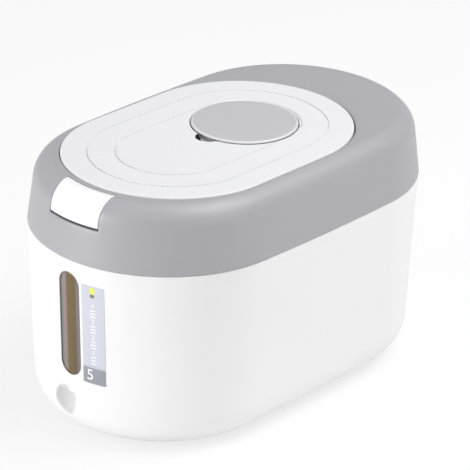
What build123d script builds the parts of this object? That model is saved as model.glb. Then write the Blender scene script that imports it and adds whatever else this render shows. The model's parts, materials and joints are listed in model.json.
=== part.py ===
from build123d import *
from math import cos, pi, radians, sin, sqrt, tan
import os

# Lidded rice bin, in millimetres: +Z up, the front (button and window) at -Y, the lid's hinge at +Y.
# The origin is at the middle of the base.

# ---- driving dimensions ----
bin_length = 305
bin_width = 185
bin_height = 180
side_bow = 1.1               # the long sides stand out this much past the round ends

# bin
foot_height = 1.0
shell_wall = 2.4
shell_draft = 2.0            # degrees
shell_round = 25.5           # bottom edge
shell_step = 0.4             # the bin stands back this much under the collar
neck_gap = 1.5               # between the neck and the collar's lower edge
bead_height = 1.6
bead_gap = 0.05

# collar
collar_height = 46.5         # from the collar's lower edge to the top of the lid
seam = 0.4                   # shadow gap between the collar and the bin's shoulder
collar_wall = 2.4
collar_draft = 7.3           # degrees
collar_round = 16.7
deck_drop = 2.0              # the deck lies this far below the top of the lid
deck_sink = 0.6              # the deck cuts the round this far below its crown
deck_thickness = 2.0
edge_break = 0.5

# lid
lid_side_inset = 17.6        # from the bin's side to the lid's
lid_front_inset = 23.7
lid_rear_inset = 62.7
lid_gap = 0.6                # round the lid's sides and front
hinge_gap = 1.2              # behind the lid
lid_edge_round = 0.8
terrace_rise = 0.5
terrace_insets = (22.4, 38.6)
panel_thickness = 2.6
liner_thickness = 2.0
liner_inset = 1.5

# mouth
mouth_inset = 12.8           # from the lid's edge to the mouth's
mouth_wall = 2.0
rim_drop = 8.0               # the mouth's rim lies this far below the top of the lid
rim_round = 0.6
ledge_drop = 2.0             # from the rim down to the ledge round it
ledge_thickness = 2.0
upstand_room = 1.4           # under the deck
upstand_thickness = 1.6
upstand_gap = 0.5
flange_thickness = 2.4
flange_gap = 0.3
seal_thickness = 1.6
seal_inset = 0.3
gasket_width = 3.0
gasket_gap = 0.2

# hinge
hinge_back = 16.0            # from the lid's rear edge to the pin
hinge_drop = 7.5             # from the lid's edge surface down to the pin
hinge_pin_radius = 1.5
pin_clearance = 0.05
arm_middle = 14.0
arm_width = 6.0
arm_inner = 18.6             # the arm's bend clears the deck's edge, which swings past it
arm_outer = 22.2
arm_boss_radius = 4.0
arm_start = 172.0            # degrees round the pin, where the bend leaves the liner
arm_end = 272.0              # degrees round the pin, where the spoke meets the bend
arm_slot_gap = 1.0
arm_room = 2.3               # between the arms' bend and the frame's flange
ear_width = 5.6
ear_gap = 0.4
ear_radius = 4.0
bracket_base = 1.6
bracket_depth = 16.0
bracket_screw_edge = 3.5
centre_ear_width = 5.0
spring_wire = 0.8
spring_radius = 2.9
spring_turns = 3.5
spring_pitch = 1.35
spring_leg = 14.0
spring_tip = 4.0             # bent end that reaches behind the arm
spring_tip_radius = 0.45
spring_gap = 0.3

# button
button_width = 42.6
button_gap = 0.5             # at its sides and top
button_foot_gap = 1.6        # under its lower edge
button_height = 18.5
button_skin = 2.0
deck_strip = 3.2             # grey strip between the lid and the button
button_pin_ahead = 5.2       # the button rocks on a pin this far in front of the lid
button_pin_drop = 7.0        # and this far below the deck
button_pin_radius = 1.25
button_boss_radius = 2.5
button_arm_width = 3.0
button_ear_width = 3.5
button_base_depth = 14.0
button_base_reach = 9.0      # from the button's pin back to the edge of its bracket
button_screw_x = 8.0
catch_reach = 8.4            # from the lid's front edge to the catch bar's back
catch_depth = 3.0
catch_height = 3.0
catch_drop = 20.6            # from the deck to the catch bar's lower side
hook_width = 18.0
hook_thickness = 2.2
hook_front_gap = 1.6
hook_barb = 1.4
hook_length = 20.4
hook_barb_lead = 1.4         # slope under the barb
hook_barb_height = 3.0
hook_gusset = 2.0
hook_root = 1.0              # the hook runs this far into the liner
hook_arm_gap = 1.6
button_spring_wire = 0.6
button_spring_radius = 1.9
button_spring_turns = 5.75
button_spring_pitch = 1.05
button_spring_leg = 9.0
button_web_top = 4.0         # webs join the boss to the skin above it
button_web_foot = 2.0        # and stop this far above the button's lower edge
button_web_back = 8.0        # depth of the webs at their foot
button_bay_gap = 2.0         # room beside the button in the mouth frame
button_bay_front = 8.0       # the bay reaches this far in front of the lid
button_bay_back = 1.0        # and stops this far in front of the mouth
pin_overhang = 1.0
pin_chamfer = 0.3

# cap, its recess and the cup below it
cap_offset = 35.5            # from the lid's middle
cap_radius = 37.9
cap_gap = 0.9
cap_sink = 0.7               # the cap lies this far below the top of the lid
cap_thickness = 2.2
cap_chamfer = 1.0
recess_chamfer = 1.2
recess_depth = 5.6
cup_radius = 34.2
cup_wall = 1.8
cup_depth = 22.4
cup_flange_radius = 38.2
cup_flange = 1.2
cup_slot_count = 16
cup_slot_width = 3.0
cup_slot_height = 12.0
cup_slot_rise = 2.0          # from the cup's floor to its slots
spigot_gap = 0.4
spigot_wall = 1.6
spigot_depth = 8.0
seal_ring_width = 3.0
fit_gap = 0.2
notch_radius = 10.6          # ball that scoops the finger notch
notch_front = 9.3            # the notch reaches this far in front of its middle
notch_ahead = 35.7           # from the cap's middle to the notch's
notch_depth = 5.5
notch_floor = 1.6

# window, label and finger scoop on the front
window_width = 16.4
window_bottom = 49.0
window_drop = 10.1           # from the bin's shoulder to the top of the window
gasket_rim = 0.9
pane_thickness = 2.0
window_gap = 0.1
label_gap = 3.2              # between the window and the label
label_width = 16.8
label_below = 1.7            # the label's lower edge lies this far below the window's
label_drop = 3.8             # and its upper edge this far below the window's
label_corner = 2.0
label_thickness = 0.3
scoop_middle = -5.0
scoop_height = 26.0          # height of the ball that sinks the scoop
scoop_top = 35.0             # flat top edge
scoop_depth = 5.0
scoop_radius = 12.0          # of the rim that the ball leaves on the wall

# fasteners and feet
screw_radius = 1.4
screw_gap = 0.06
screw_head_radius = 2.7
screw_head = 1.6
boss_radius = 3.4
boss_screw_length = 14.0
boss_hole_extra = 1.0
small_screw_radius = 1.0
small_screw_head_radius = 2.1
small_screw_head = 1.3
small_screw_length = 3.4
rear_boss = (45.0, 42.5)     # to each side, and in from the bin's rear end
front_boss = (42.0, 28.5)    # to each side, and in from the front end
liner_screw_inset = 8.9      # from the lid's edge
liner_screw_turn = 20.0      # degrees round the lid's ends, past their start
foot_radius = 8.0
foot_pocket = 1.0
foot_x = 40.0
foot_y = 92.0

# ---- worked out from the dimensions above ----
half_length = bin_length / 2
half_width = bin_width / 2
end_radius = half_width - side_bow
end_reach = half_length - end_radius
side_offset = (end_reach ** 2 - side_bow ** 2) / (2 * side_bow)

collar_line = bin_height - collar_height
deck_height = bin_height - deck_drop
crown_height = deck_height + deck_sink
shoulder_height = collar_line - seam
neck_inset = collar_wall + neck_gap

lid_half_length = half_length - (lid_front_inset + lid_rear_inset) / 2
lid_half_width = half_width - lid_side_inset
lid_middle = (lid_front_inset - lid_rear_inset) / 2
lid_edge_top = bin_height - len(terrace_insets) * terrace_rise
panel_bottom = lid_edge_top - panel_thickness
liner_bottom = panel_bottom - liner_thickness
lid_rear = lid_middle + lid_half_length
lid_front = lid_middle - lid_half_length
opening_half_width = lid_half_width + lid_gap
opening_half_length = lid_half_length + (lid_gap + hinge_gap) / 2
opening_middle = lid_middle + (hinge_gap - lid_gap) / 2

mouth_half_length = lid_half_length - mouth_inset
mouth_half_width = lid_half_width - mouth_inset
rim_height = bin_height - rim_drop
ledge_height = rim_height - ledge_drop
upstand_height = deck_height - deck_thickness - upstand_room
mouth_front = lid_middle - mouth_half_length
upstand_half_width = opening_half_width + upstand_gap + upstand_thickness
upstand_half_length = opening_half_length + upstand_gap + upstand_thickness

hinge_y = lid_rear + hinge_back
hinge_z = lid_edge_top - hinge_drop
flange_top = hinge_z - arm_outer - arm_room
flange_bottom = flange_top - flange_thickness
rim_top = flange_bottom - seal_thickness
neck_height = rim_top - shoulder_height
bead_bottom = collar_line + neck_height / 2
ear_inner = arm_middle + arm_width / 2 + ear_gap
ear_middle = ear_inner + ear_width / 2

button_bottom = deck_height - button_height
button_bottom_lip = button_bottom - button_foot_gap
button_pin_y = lid_front - button_pin_ahead
button_pin_z = deck_height - button_pin_drop
hook_front = lid_front + hook_front_gap
hook_back = hook_front + hook_thickness
hook_bottom = liner_bottom - hook_length
catch_back = lid_front + catch_reach
catch_front = catch_back - catch_depth
catch_bottom = deck_height - catch_drop
button_arm_inner = hook_width / 2 + hook_arm_gap
button_ear_inner = button_arm_inner + button_arm_width + ear_gap
button_ear_end = button_ear_inner + button_ear_width
button_base_back = button_pin_y + button_base_reach
recess_radius = cap_radius + cap_gap
cap_middle = lid_middle + cap_offset
cap_top = bin_height - cap_sink
cap_bottom = cap_top - cap_thickness
recess_floor = bin_height - recess_depth
cup_flange_top = recess_floor + cup_flange
cup_bottom = recess_floor - cup_depth
cup_inner = cup_radius - cup_wall
notch_middle = cap_middle - notch_ahead
spigot_radius = cup_inner - spigot_gap

window_top = shoulder_height - window_drop
label_left = window_width / 2 + label_gap
label_bottom = window_bottom - label_below
label_top = window_top - label_drop
scoop_ball = (scoop_radius ** 2 + scoop_depth ** 2) / (2 * scoop_depth)


def outline(inset):
    """Plan of the bin drawn in by inset: two end arcs and two long side arcs that meet them in line."""
    side_radius = half_width + side_offset - inset
    slope = sqrt(end_reach ** 2 + side_offset ** 2)
    join_x = side_radius * side_offset / slope - side_offset
    join_y = side_radius * end_reach / slope
    side = half_width - inset
    end = half_length - inset
    with BuildSketch() as face:
        with BuildLine():
            ThreePointArc((join_x, -join_y), (side, 0), (join_x, join_y))
            ThreePointArc((join_x, join_y), (0, end), (-join_x, join_y))
            ThreePointArc((-join_x, join_y), (-side, 0), (-join_x, -join_y))
            ThreePointArc((-join_x, -join_y), (0, -end), (join_x, -join_y))
        make_face()
    return face.sketch


def track(track_half_length, track_half_width, middle=lid_middle):
    """Plan with two half circles joined by straight sides, lengthwise on the lid's middle."""
    with BuildSketch() as face:
        with Locations((0, middle)):
            SlotOverall(2 * track_half_length, 2 * track_half_width, rotation=90)
    return face.sketch


def bin_form(inset, top):
    """Solid of the bin below top, drawn in by inset all round: drafted sides and a rounded lower edge."""
    lower = foot_height + inset
    with BuildPart() as form:
        with BuildSketch(Plane.XY.offset(top)):
            add(outline(shell_step + inset + (shoulder_height - top) * tan(radians(shell_draft))))
        extrude(amount=lower - top, taper=shell_draft)
        fillet(form.edges().group_by(Axis.Z)[0], radius=shell_round - inset)
    return form.part


def collar_form(inset, top):
    """Solid of the collar drawn in by inset: leaning sides and a round that the deck's plane at top cuts."""
    with BuildPart() as form:
        with BuildSketch(Plane.XY.offset(collar_line)):
            add(outline(inset))
        extrude(amount=crown_height - inset - collar_line, taper=collar_draft)
        fillet(form.edges().group_by(Axis.Z)[-1], radius=collar_round - inset)
        split(bisect_by=Plane.XY.offset(top), keep=Keep.BOTTOM)
    return form.part


def front_slot(width, bottom, top):
    """Upright slot with round ends, seen from the front, run right through the front wall."""
    with BuildPart() as prism:
        with BuildSketch(Plane.XZ.offset(half_length - end_radius)):
            with Locations((0, (bottom + top) / 2)):
                SlotOverall(top - bottom, width, rotation=90)
        extrude(amount=end_radius)
    return prism.part


def button_prism(width, bottom, strip):
    """Block over the front that the button fills: its top edge runs parallel to the lid's front edge."""
    with BuildPart() as prism:
        with BuildSketch(Plane.XY.offset(bottom)):
            with Locations((0, -half_length / 2)):
                Rectangle(width, half_length)
            add(track(opening_half_length + strip, opening_half_width + strip, opening_middle),
                mode=Mode.SUBTRACT)
        extrude(amount=crown_height - bottom)
    return prism.part


def scoop_form(wall):
    """Finger scoop: a ball sunk into the front wall and cut flat at its top edge."""
    front = -half_length + shell_step + (shoulder_height - scoop_height) * tan(radians(shell_draft))
    with BuildPart() as form:
        with Locations((scoop_middle, front + scoop_depth - scoop_ball, scoop_height)):
            Sphere(scoop_ball + wall)
        split(bisect_by=Plane.XY.offset(scoop_top + wall), keep=Keep.BOTTOM)
    return form.part


def coil_spring(radius, wire, pitch, turns, first_leg, last_leg):
    """Coil round the local Z axis with a straight leg at each end, in line with the wire."""
    with BuildPart() as spring:
        with BuildLine() as path:
            coil = Helix(pitch, turns * pitch, radius, lefthand=True)
            Line(coil @ 0 - (coil % 0) * first_leg, coil @ 0)
            Line(coil @ 1, coil @ 1 + (coil % 1) * last_leg)
        start = coil @ 0 - (coil % 0) * first_leg
        with BuildSketch(Plane(origin=start, z_dir=coil % 0)):
            Circle(wire / 2)
        sweep(path=path.wires()[0])
    return spring.part


def hinge_turn(radius, angle):
    """Point beside the hinge pin, as (y, z), at a radius and an angle that runs from +Y up to +Z."""
    return (hinge_y + radius * cos(radians(angle)), hinge_z + radius * sin(radians(angle)))


boss_places = [(side * rear_boss[0], half_length - rear_boss[1]) for side in (-1, 1)]
boss_places += [(side * front_boss[0], front_boss[1] - half_length) for side in (-1, 1)]
liner_screw_radius = lid_half_width - liner_screw_inset
liner_screw_places = [(side * liner_screw_radius, lid_middle) for side in (-1, 1)]
for side in (-1, 1):
    for end in (-1, 1):
        liner_screw_y = lid_half_length - lid_half_width + liner_screw_radius * sin(radians(liner_screw_turn))
        liner_screw_places.append((side * liner_screw_radius * cos(radians(liner_screw_turn)),
                                   lid_middle + end * liner_screw_y))
hinge_screw_y = hinge_y + bracket_depth / 2 - bracket_screw_edge
bracket_screw_places = [(side * arm_middle, hinge_screw_y) for side in (-1, 1)]
bracket_screw_places += [(side * button_screw_x, button_base_back - bracket_screw_edge) for side in (-1, 1)]
foot_places = [(side * foot_x, end * foot_y) for end in (-1, 1) for side in (-1, 1)]

os.makedirs("parts", exist_ok=True)

# ---- bin ----
# the scoop's own wall stands into the bin
with BuildPart() as scoop_wall:
    add(scoop_form(shell_wall))
    add(bin_form(shell_wall / 2, shoulder_height), mode=Mode.INTERSECT)

cavity_top = shoulder_height - shell_wall
bead_inset = collar_wall + (bead_bottom + bead_height - collar_line) * tan(radians(collar_draft)) + bead_gap
with BuildPart() as body_shell:
    add(bin_form(0, shoulder_height))
    with BuildSketch(Plane.XY.offset(shoulder_height)):
        add(outline(neck_inset))
    extrude(amount=neck_height)
    with BuildSketch(Plane.XY.offset(bead_bottom)):
        add(outline(bead_inset))
    extrude(amount=bead_height)
    add(bin_form(shell_wall, cavity_top), mode=Mode.SUBTRACT)
    with BuildSketch(Plane.XY.offset(cavity_top)):
        add(outline(neck_inset + shell_wall))
    extrude(amount=shell_wall + neck_height, mode=Mode.SUBTRACT)
    add(scoop_wall.part)
    add(scoop_form(0), mode=Mode.SUBTRACT)
    add(front_slot(window_width + 2 * gasket_rim, window_bottom - gasket_rim, window_top + gasket_rim),
        mode=Mode.SUBTRACT)
    with BuildSketch(Plane.XY.offset(foot_height)):
        with Locations(*foot_places):
            Circle(foot_radius)
    extrude(amount=foot_pocket, mode=Mode.SUBTRACT)
body_shell.part.label = "body_shell"
export_step(body_shell.part, "parts/body_shell.step")

# ---- window ----
with BuildPart() as window_gasket:
    add(front_slot(window_width + 2 * (gasket_rim - window_gap), window_bottom - gasket_rim + window_gap,
                   window_top + gasket_rim - window_gap))
    add(front_slot(window_width, window_bottom, window_top), mode=Mode.SUBTRACT)
    add(bin_form(0, shoulder_height), mode=Mode.INTERSECT)
    add(bin_form(shell_wall, cavity_top), mode=Mode.SUBTRACT)
window_gasket.part.label = "window_gasket"
export_step(window_gasket.part, "parts/window_gasket.step")

pane_sink = (shell_wall - pane_thickness) / 2
with BuildPart() as window_pane:
    add(front_slot(window_width - 2 * window_gap, window_bottom + window_gap, window_top - window_gap))
    add(bin_form(pane_sink, shoulder_height), mode=Mode.INTERSECT)
    add(bin_form(pane_sink + pane_thickness, cavity_top), mode=Mode.SUBTRACT)
window_pane.part.label = "window_pane"
export_step(window_pane.part, "parts/window_pane.step")

# ---- scale label, a thin strip on the front wall ----
with BuildPart() as scale_label:
    with BuildSketch(Plane.XZ.offset(half_length - end_radius)):
        with Locations((label_left + label_width / 2, (label_bottom + label_top) / 2)):
            RectangleRounded(label_width, label_top - label_bottom, label_corner)
    extrude(amount=end_radius)
    add(bin_form(-label_thickness, shoulder_height), mode=Mode.INTERSECT)
    add(bin_form(0, shoulder_height), mode=Mode.SUBTRACT)
scale_label.part.label = "scale_label"
export_step(scale_label.part, "parts/scale_label.step")

# ---- feet ----
with BuildPart() as foot_pads:
    with BuildSketch():
        with Locations(*foot_places):
            Circle(foot_radius - fit_gap)
    extrude(amount=foot_height + foot_pocket)
    chamfer(foot_pads.edges().group_by(Axis.Z)[0], length=foot_height / 2)
foot_pads.part.label = "foot_pads"
export_step(foot_pads.part, "parts/foot_pads.step")

# ---- collar ----
with BuildPart() as collar:
    add(collar_form(0, deck_height))
    add(collar_form(collar_wall, deck_height - deck_thickness), mode=Mode.SUBTRACT)
    with BuildSketch(Plane.XY.offset(flange_top)):
        with Locations(*boss_places):
            Circle(boss_radius)
    extrude(amount=deck_height - deck_thickness / 2 - flange_top)
    with BuildSketch(Plane.XY.offset(flange_top)):
        with Locations(*boss_places):
            Circle(screw_radius + screw_gap)
    extrude(amount=boss_screw_length + boss_hole_extra, mode=Mode.SUBTRACT)
    with BuildSketch(Plane.XY.offset(upstand_height)):
        add(track(opening_half_length, opening_half_width, opening_middle))
    extrude(amount=crown_height - upstand_height, mode=Mode.SUBTRACT)
    with BuildSketch(Plane.XY.offset(deck_height)):
        add(track(opening_half_length + edge_break, opening_half_width + edge_break, opening_middle))
    extrude(amount=-edge_break, taper=45, mode=Mode.SUBTRACT)
    add(button_prism(button_width + 2 * button_gap, button_bottom_lip, deck_strip), mode=Mode.SUBTRACT)
collar.part.label = "collar"
export_step(collar.part, "parts/collar.step")

# ---- mouth frame ----
flange_inset = collar_wall + (flange_top - collar_line) * tan(radians(collar_draft)) + flange_gap
button_bay = button_width / 2 + button_bay_gap
with BuildPart() as mouth_frame:
    with BuildSketch(Plane.XY.offset(flange_bottom)):
        add(outline(flange_inset))
    extrude(amount=flange_thickness)
    with BuildSketch(Plane.XY.offset(flange_bottom)):
        add(track(mouth_half_length, mouth_half_width))
    extrude(amount=rim_height - flange_bottom)
    with BuildSketch(Plane.XY.offset(ledge_height - ledge_thickness)):
        add(track(upstand_half_length, upstand_half_width, opening_middle))
    extrude(amount=upstand_height - ledge_height + ledge_thickness)
    with BuildSketch(Plane.XY.offset(ledge_height)):
        add(track(upstand_half_length - upstand_thickness, upstand_half_width - upstand_thickness,
                  opening_middle))
        add(track(mouth_half_length, mouth_half_width), mode=Mode.SUBTRACT)
    extrude(amount=upstand_height - ledge_height, mode=Mode.SUBTRACT)
    with BuildSketch(Plane.XY.offset(rim_height)):
        add(track(mouth_half_length, mouth_half_width))
    extrude(amount=upstand_height - rim_height, mode=Mode.SUBTRACT)
    with BuildSketch(Plane.XY.offset(flange_bottom)):
        add(track(mouth_half_length - mouth_wall, mouth_half_width - mouth_wall))
    extrude(amount=rim_height - flange_bottom, mode=Mode.SUBTRACT)
    fillet(mouth_frame.edges().filter_by_position(Axis.Z, rim_height, rim_height), radius=rim_round)
    # slots for the lid's two hinge arms
    slot_front = hinge_y - arm_outer - arm_slot_gap
    slot_back = hinge_y - ear_radius
    with BuildSketch(Plane.XY.offset(ledge_height - ledge_thickness)):
        for side in (-1, 1):
            with Locations((side * arm_middle, (slot_front + slot_back) / 2)):
                Rectangle(arm_width + 2 * arm_slot_gap, slot_back - slot_front)
    extrude(amount=upstand_height - ledge_height + ledge_thickness, mode=Mode.SUBTRACT)
    # bay for the button and the lid's hook
    bay_back = mouth_front - button_bay_back
    bay_front = lid_front - button_bay_front
    with BuildSketch(Plane.XY.offset(ledge_height - ledge_thickness)):
        with Locations((0, (bay_back + bay_front) / 2)):
            Rectangle(2 * button_bay, bay_back - bay_front)
    extrude(amount=upstand_height - ledge_height + ledge_thickness, mode=Mode.SUBTRACT)
    with BuildSketch(Plane.XY.offset(flange_bottom)):
        with Locations(*boss_places):
            Circle(screw_radius + screw_gap)
        with Locations(*bracket_screw_places):
            Circle(small_screw_radius + screw_gap)
    extrude(amount=flange_thickness, mode=Mode.SUBTRACT)
mouth_frame.part.label = "mouth_frame"
export_step(mouth_frame.part, "parts/mouth_frame.step")

with BuildPart() as frame_seal:
    with BuildSketch(Plane.XY.offset(rim_top)):
        add(outline(neck_inset + seal_inset))
        add(outline(neck_inset + shell_wall - seal_inset), mode=Mode.SUBTRACT)
    extrude(amount=seal_thickness)
frame_seal.part.label = "frame_seal"
export_step(frame_seal.part, "parts/frame_seal.step")

with BuildPart() as frame_screws:
    with BuildSketch(Plane.XY.offset(flange_bottom - screw_head)):
        with Locations(*boss_places):
            Circle(screw_head_radius)
    extrude(amount=screw_head)
    with BuildSketch(Plane.XY.offset(flange_bottom)):
        with Locations(*boss_places):
            Circle(screw_radius)
    extrude(amount=flange_thickness + boss_screw_length)
frame_screws.part.label = "frame_screws"
export_step(frame_screws.part, "parts/frame_screws.step")

# ---- lid hinge ----
bracket_half_width = ear_inner + ear_width
bracket_top = flange_top + bracket_base
with BuildPart() as hinge_bracket:
    with BuildSketch(Plane.XY.offset(flange_top)):
        with Locations((0, hinge_y)):
            Rectangle(2 * bracket_half_width, bracket_depth)
    extrude(amount=bracket_base)
    for ear_place, ear_thick in ((-ear_middle, ear_width), (0, centre_ear_width), (ear_middle, ear_width)):
        with BuildSketch(Plane.YZ.offset(ear_place - ear_thick / 2)):
            with Locations((hinge_y, (bracket_top + hinge_z) / 2)):
                Rectangle(2 * ear_radius, hinge_z - bracket_top)
            with Locations((hinge_y, hinge_z)):
                Circle(ear_radius)
        extrude(amount=ear_thick)
    with BuildSketch(Plane.YZ.offset(-bracket_half_width)):
        with Locations((hinge_y, hinge_z)):
            Circle(hinge_pin_radius + pin_clearance)
    extrude(amount=2 * bracket_half_width, mode=Mode.SUBTRACT)
    with BuildSketch(Plane.XY.offset(flange_top)):
        with Locations(*bracket_screw_places):
            Circle(small_screw_radius + screw_gap)
    extrude(amount=bracket_base, mode=Mode.SUBTRACT)
hinge_bracket.part.label = "hinge_bracket"
export_step(hinge_bracket.part, "parts/hinge_bracket.step")

with BuildPart() as bracket_screws:
    with BuildSketch(Plane.XY.offset(bracket_top)):
        with Locations(*bracket_screw_places):
            Circle(small_screw_head_radius)
    extrude(amount=small_screw_head)
    with BuildSketch(Plane.XY.offset(bracket_top)):
        with Locations(*bracket_screw_places):
            Circle(small_screw_radius)
    extrude(amount=-small_screw_length)
bracket_screws.part.label = "bracket_screws"
export_step(bracket_screws.part, "parts/bracket_screws.step")

with BuildPart() as hinge_pin:
    with BuildSketch(Plane.YZ.offset(-bracket_half_width - pin_overhang)):
        with Locations((hinge_y, hinge_z)):
            Circle(hinge_pin_radius)
    extrude(amount=2 * (bracket_half_width + pin_overhang))
    chamfer(hinge_pin.edges(), length=pin_chamfer)
hinge_pin.part.label = "hinge_pin"
export_step(hinge_pin.part, "parts/hinge_pin.step")

# two coil springs on the pin: one leg stands on the bracket, the other lies behind the arm's spoke
spring_first_leg = hinge_z - bracket_top - spring_gap
spring_lean = spring_pitch / (2 * pi * spring_radius)
spring_start = centre_ear_width / 2 + spring_wire + spring_first_leg * spring_lean
spring_end = spring_start + spring_turns * spring_pitch + spring_leg * spring_lean
with BuildPart(Plane((spring_start, hinge_y, hinge_z), x_dir=(0, -1, 0), z_dir=(1, 0, 0))) as one_spring:
    add(coil_spring(spring_radius, spring_wire, spring_pitch, spring_turns, spring_first_leg, spring_leg))
    with BuildSketch(Plane.YZ.offset(spring_end)):
        with Locations((hinge_y + spring_radius, hinge_z - spring_leg)):
            Circle(spring_tip_radius)
    extrude(amount=spring_tip)

with BuildPart() as lid_springs:
    add(one_spring.part)
    mirror(about=Plane.YZ)
lid_springs.part.label = "lid_springs"
export_step(lid_springs.part, "parts/lid_springs.step")

# ---- button ----
# one arm: a boss on the pin, a web up to the skin and a leg down to the catch
with BuildPart() as button_arm:
    with BuildSketch(Plane.YZ.offset(button_arm_inner)):
        with Locations((button_pin_y, button_pin_z)):
            Circle(button_boss_radius)
        with BuildLine():
            Polyline(
                (button_pin_y - button_web_top / 2, button_pin_z),
                (button_pin_y - button_web_top / 2, crown_height),
                (button_pin_y - button_web_top, crown_height),
                (-half_length, button_pin_z),
                (-half_length, button_bottom + button_web_foot),
                (-half_length + button_web_back, button_bottom + button_web_foot),
                (catch_front, catch_bottom),
                (catch_back, catch_bottom),
                (catch_back, catch_bottom + catch_height),
                (button_pin_y + button_web_top / 2, button_pin_z - button_web_top),
                (button_pin_y + button_web_top / 2, button_pin_z),
                close=True,
            )
        make_face()
    extrude(amount=button_arm_width)
    add(collar_form(button_skin / 2, deck_height - button_skin / 2), mode=Mode.INTERSECT)

with BuildPart() as press_button:
    add(collar_form(0, deck_height))
    add(collar_form(button_skin, deck_height - button_skin), mode=Mode.SUBTRACT)
    add(button_prism(button_width, button_bottom, deck_strip + button_gap), mode=Mode.INTERSECT)
    add(button_arm.part)
    add(mirror(button_arm.part, about=Plane.YZ, mode=Mode.PRIVATE))
    # catch bar behind the lid's hook
    with BuildSketch(Plane.YZ.offset(-button_arm_inner)):
        with Locations(((catch_front + catch_back) / 2, catch_bottom + catch_height / 2)):
            Rectangle(catch_depth, catch_height)
    extrude(amount=2 * button_arm_inner)
    with BuildSketch(Plane.YZ.offset(-button_width / 2)):
        with Locations((button_pin_y, button_pin_z)):
            Circle(button_pin_radius + pin_clearance)
    extrude(amount=button_width, mode=Mode.SUBTRACT)
press_button.part.label = "press_button"
export_step(press_button.part, "parts/press_button.step")

with BuildPart() as button_bracket:
    with BuildSketch(Plane.XY.offset(flange_top)):
        with Locations((0, button_base_back - button_base_depth / 2)):
            Rectangle(2 * button_ear_end, button_base_depth)
    extrude(amount=bracket_base)
    for ear_place in (-button_ear_end, button_ear_inner):
        with BuildSketch(Plane.YZ.offset(ear_place)):
            with Locations((button_pin_y, (flange_top + button_pin_z) / 2)):
                Rectangle(2 * button_boss_radius, button_pin_z - flange_top)
            with Locations((button_pin_y, button_pin_z)):
                Circle(button_boss_radius)
        extrude(amount=button_ear_width)
    with BuildSketch(Plane.YZ.offset(-button_ear_end)):
        with Locations((button_pin_y, button_pin_z)):
            Circle(button_pin_radius + pin_clearance)
    extrude(amount=2 * button_ear_end, mode=Mode.SUBTRACT)
    with BuildSketch(Plane.XY.offset(flange_top)):
        with Locations(*bracket_screw_places):
            Circle(small_screw_radius + screw_gap)
    extrude(amount=bracket_base, mode=Mode.SUBTRACT)
button_bracket.part.label = "button_bracket"
export_step(button_bracket.part, "parts/button_bracket.step")

with BuildPart() as button_pin:
    with BuildSketch(Plane.YZ.offset(-button_ear_end)):
        with Locations((button_pin_y, button_pin_z)):
            Circle(button_pin_radius)
    extrude(amount=2 * button_ear_end)
    chamfer(button_pin.edges(), length=pin_chamfer)
button_pin.part.label = "button_pin"
export_step(button_pin.part, "parts/button_pin.step")

# coil on the button's pin: one leg stands on the bracket, the other points at the button's skin
button_spring_first_leg = button_pin_z - bracket_top - spring_gap
button_spring_start = -button_spring_turns * button_spring_pitch / 2
button_spring_place = Plane((button_spring_start, button_pin_y, button_pin_z), x_dir=(0, -1, 0),
                            z_dir=(1, 0, 0))
with BuildPart(button_spring_place) as button_spring:
    add(coil_spring(button_spring_radius, button_spring_wire, button_spring_pitch, button_spring_turns,
                    button_spring_first_leg, button_spring_leg))
button_spring.part.label = "button_spring"
export_step(button_spring.part, "parts/button_spring.step")

# ---- lid ----
with BuildPart() as lid_panel:
    with BuildSketch(Plane.XY.offset(panel_bottom)):
        add(track(lid_half_length, lid_half_width))
    extrude(amount=panel_thickness)
    fillet(lid_panel.edges().group_by(Axis.Z)[-1], radius=lid_edge_round)
    for level, inset in enumerate(terrace_insets):
        with BuildSketch(Plane.XY.offset(lid_edge_top + level * terrace_rise)):
            add(track(lid_half_length - inset, lid_half_width - inset))
        extrude(amount=terrace_rise, taper=45)
    with BuildSketch(Plane.XY.offset(panel_bottom)):
        with Locations((0, cap_middle)):
            Circle(recess_radius)
    extrude(amount=bin_height - panel_bottom, mode=Mode.SUBTRACT)
    with BuildSketch(Plane.XY.offset(bin_height)):
        with Locations((0, cap_middle)):
            Circle(recess_radius + recess_chamfer)
    extrude(amount=-recess_chamfer, taper=45, mode=Mode.SUBTRACT)
    with Locations((0, notch_middle, lid_edge_top - notch_depth + notch_radius)):
        Sphere(notch_radius, mode=Mode.SUBTRACT)
    with BuildSketch(Plane.XY.offset(panel_bottom)):
        with Locations(*liner_screw_places):
            Circle(small_screw_radius + screw_gap)
    extrude(amount=small_screw_length - liner_thickness, mode=Mode.SUBTRACT)
lid_panel.part.label = "lid_panel"
export_step(lid_panel.part, "parts/lid_panel.step")

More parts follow.
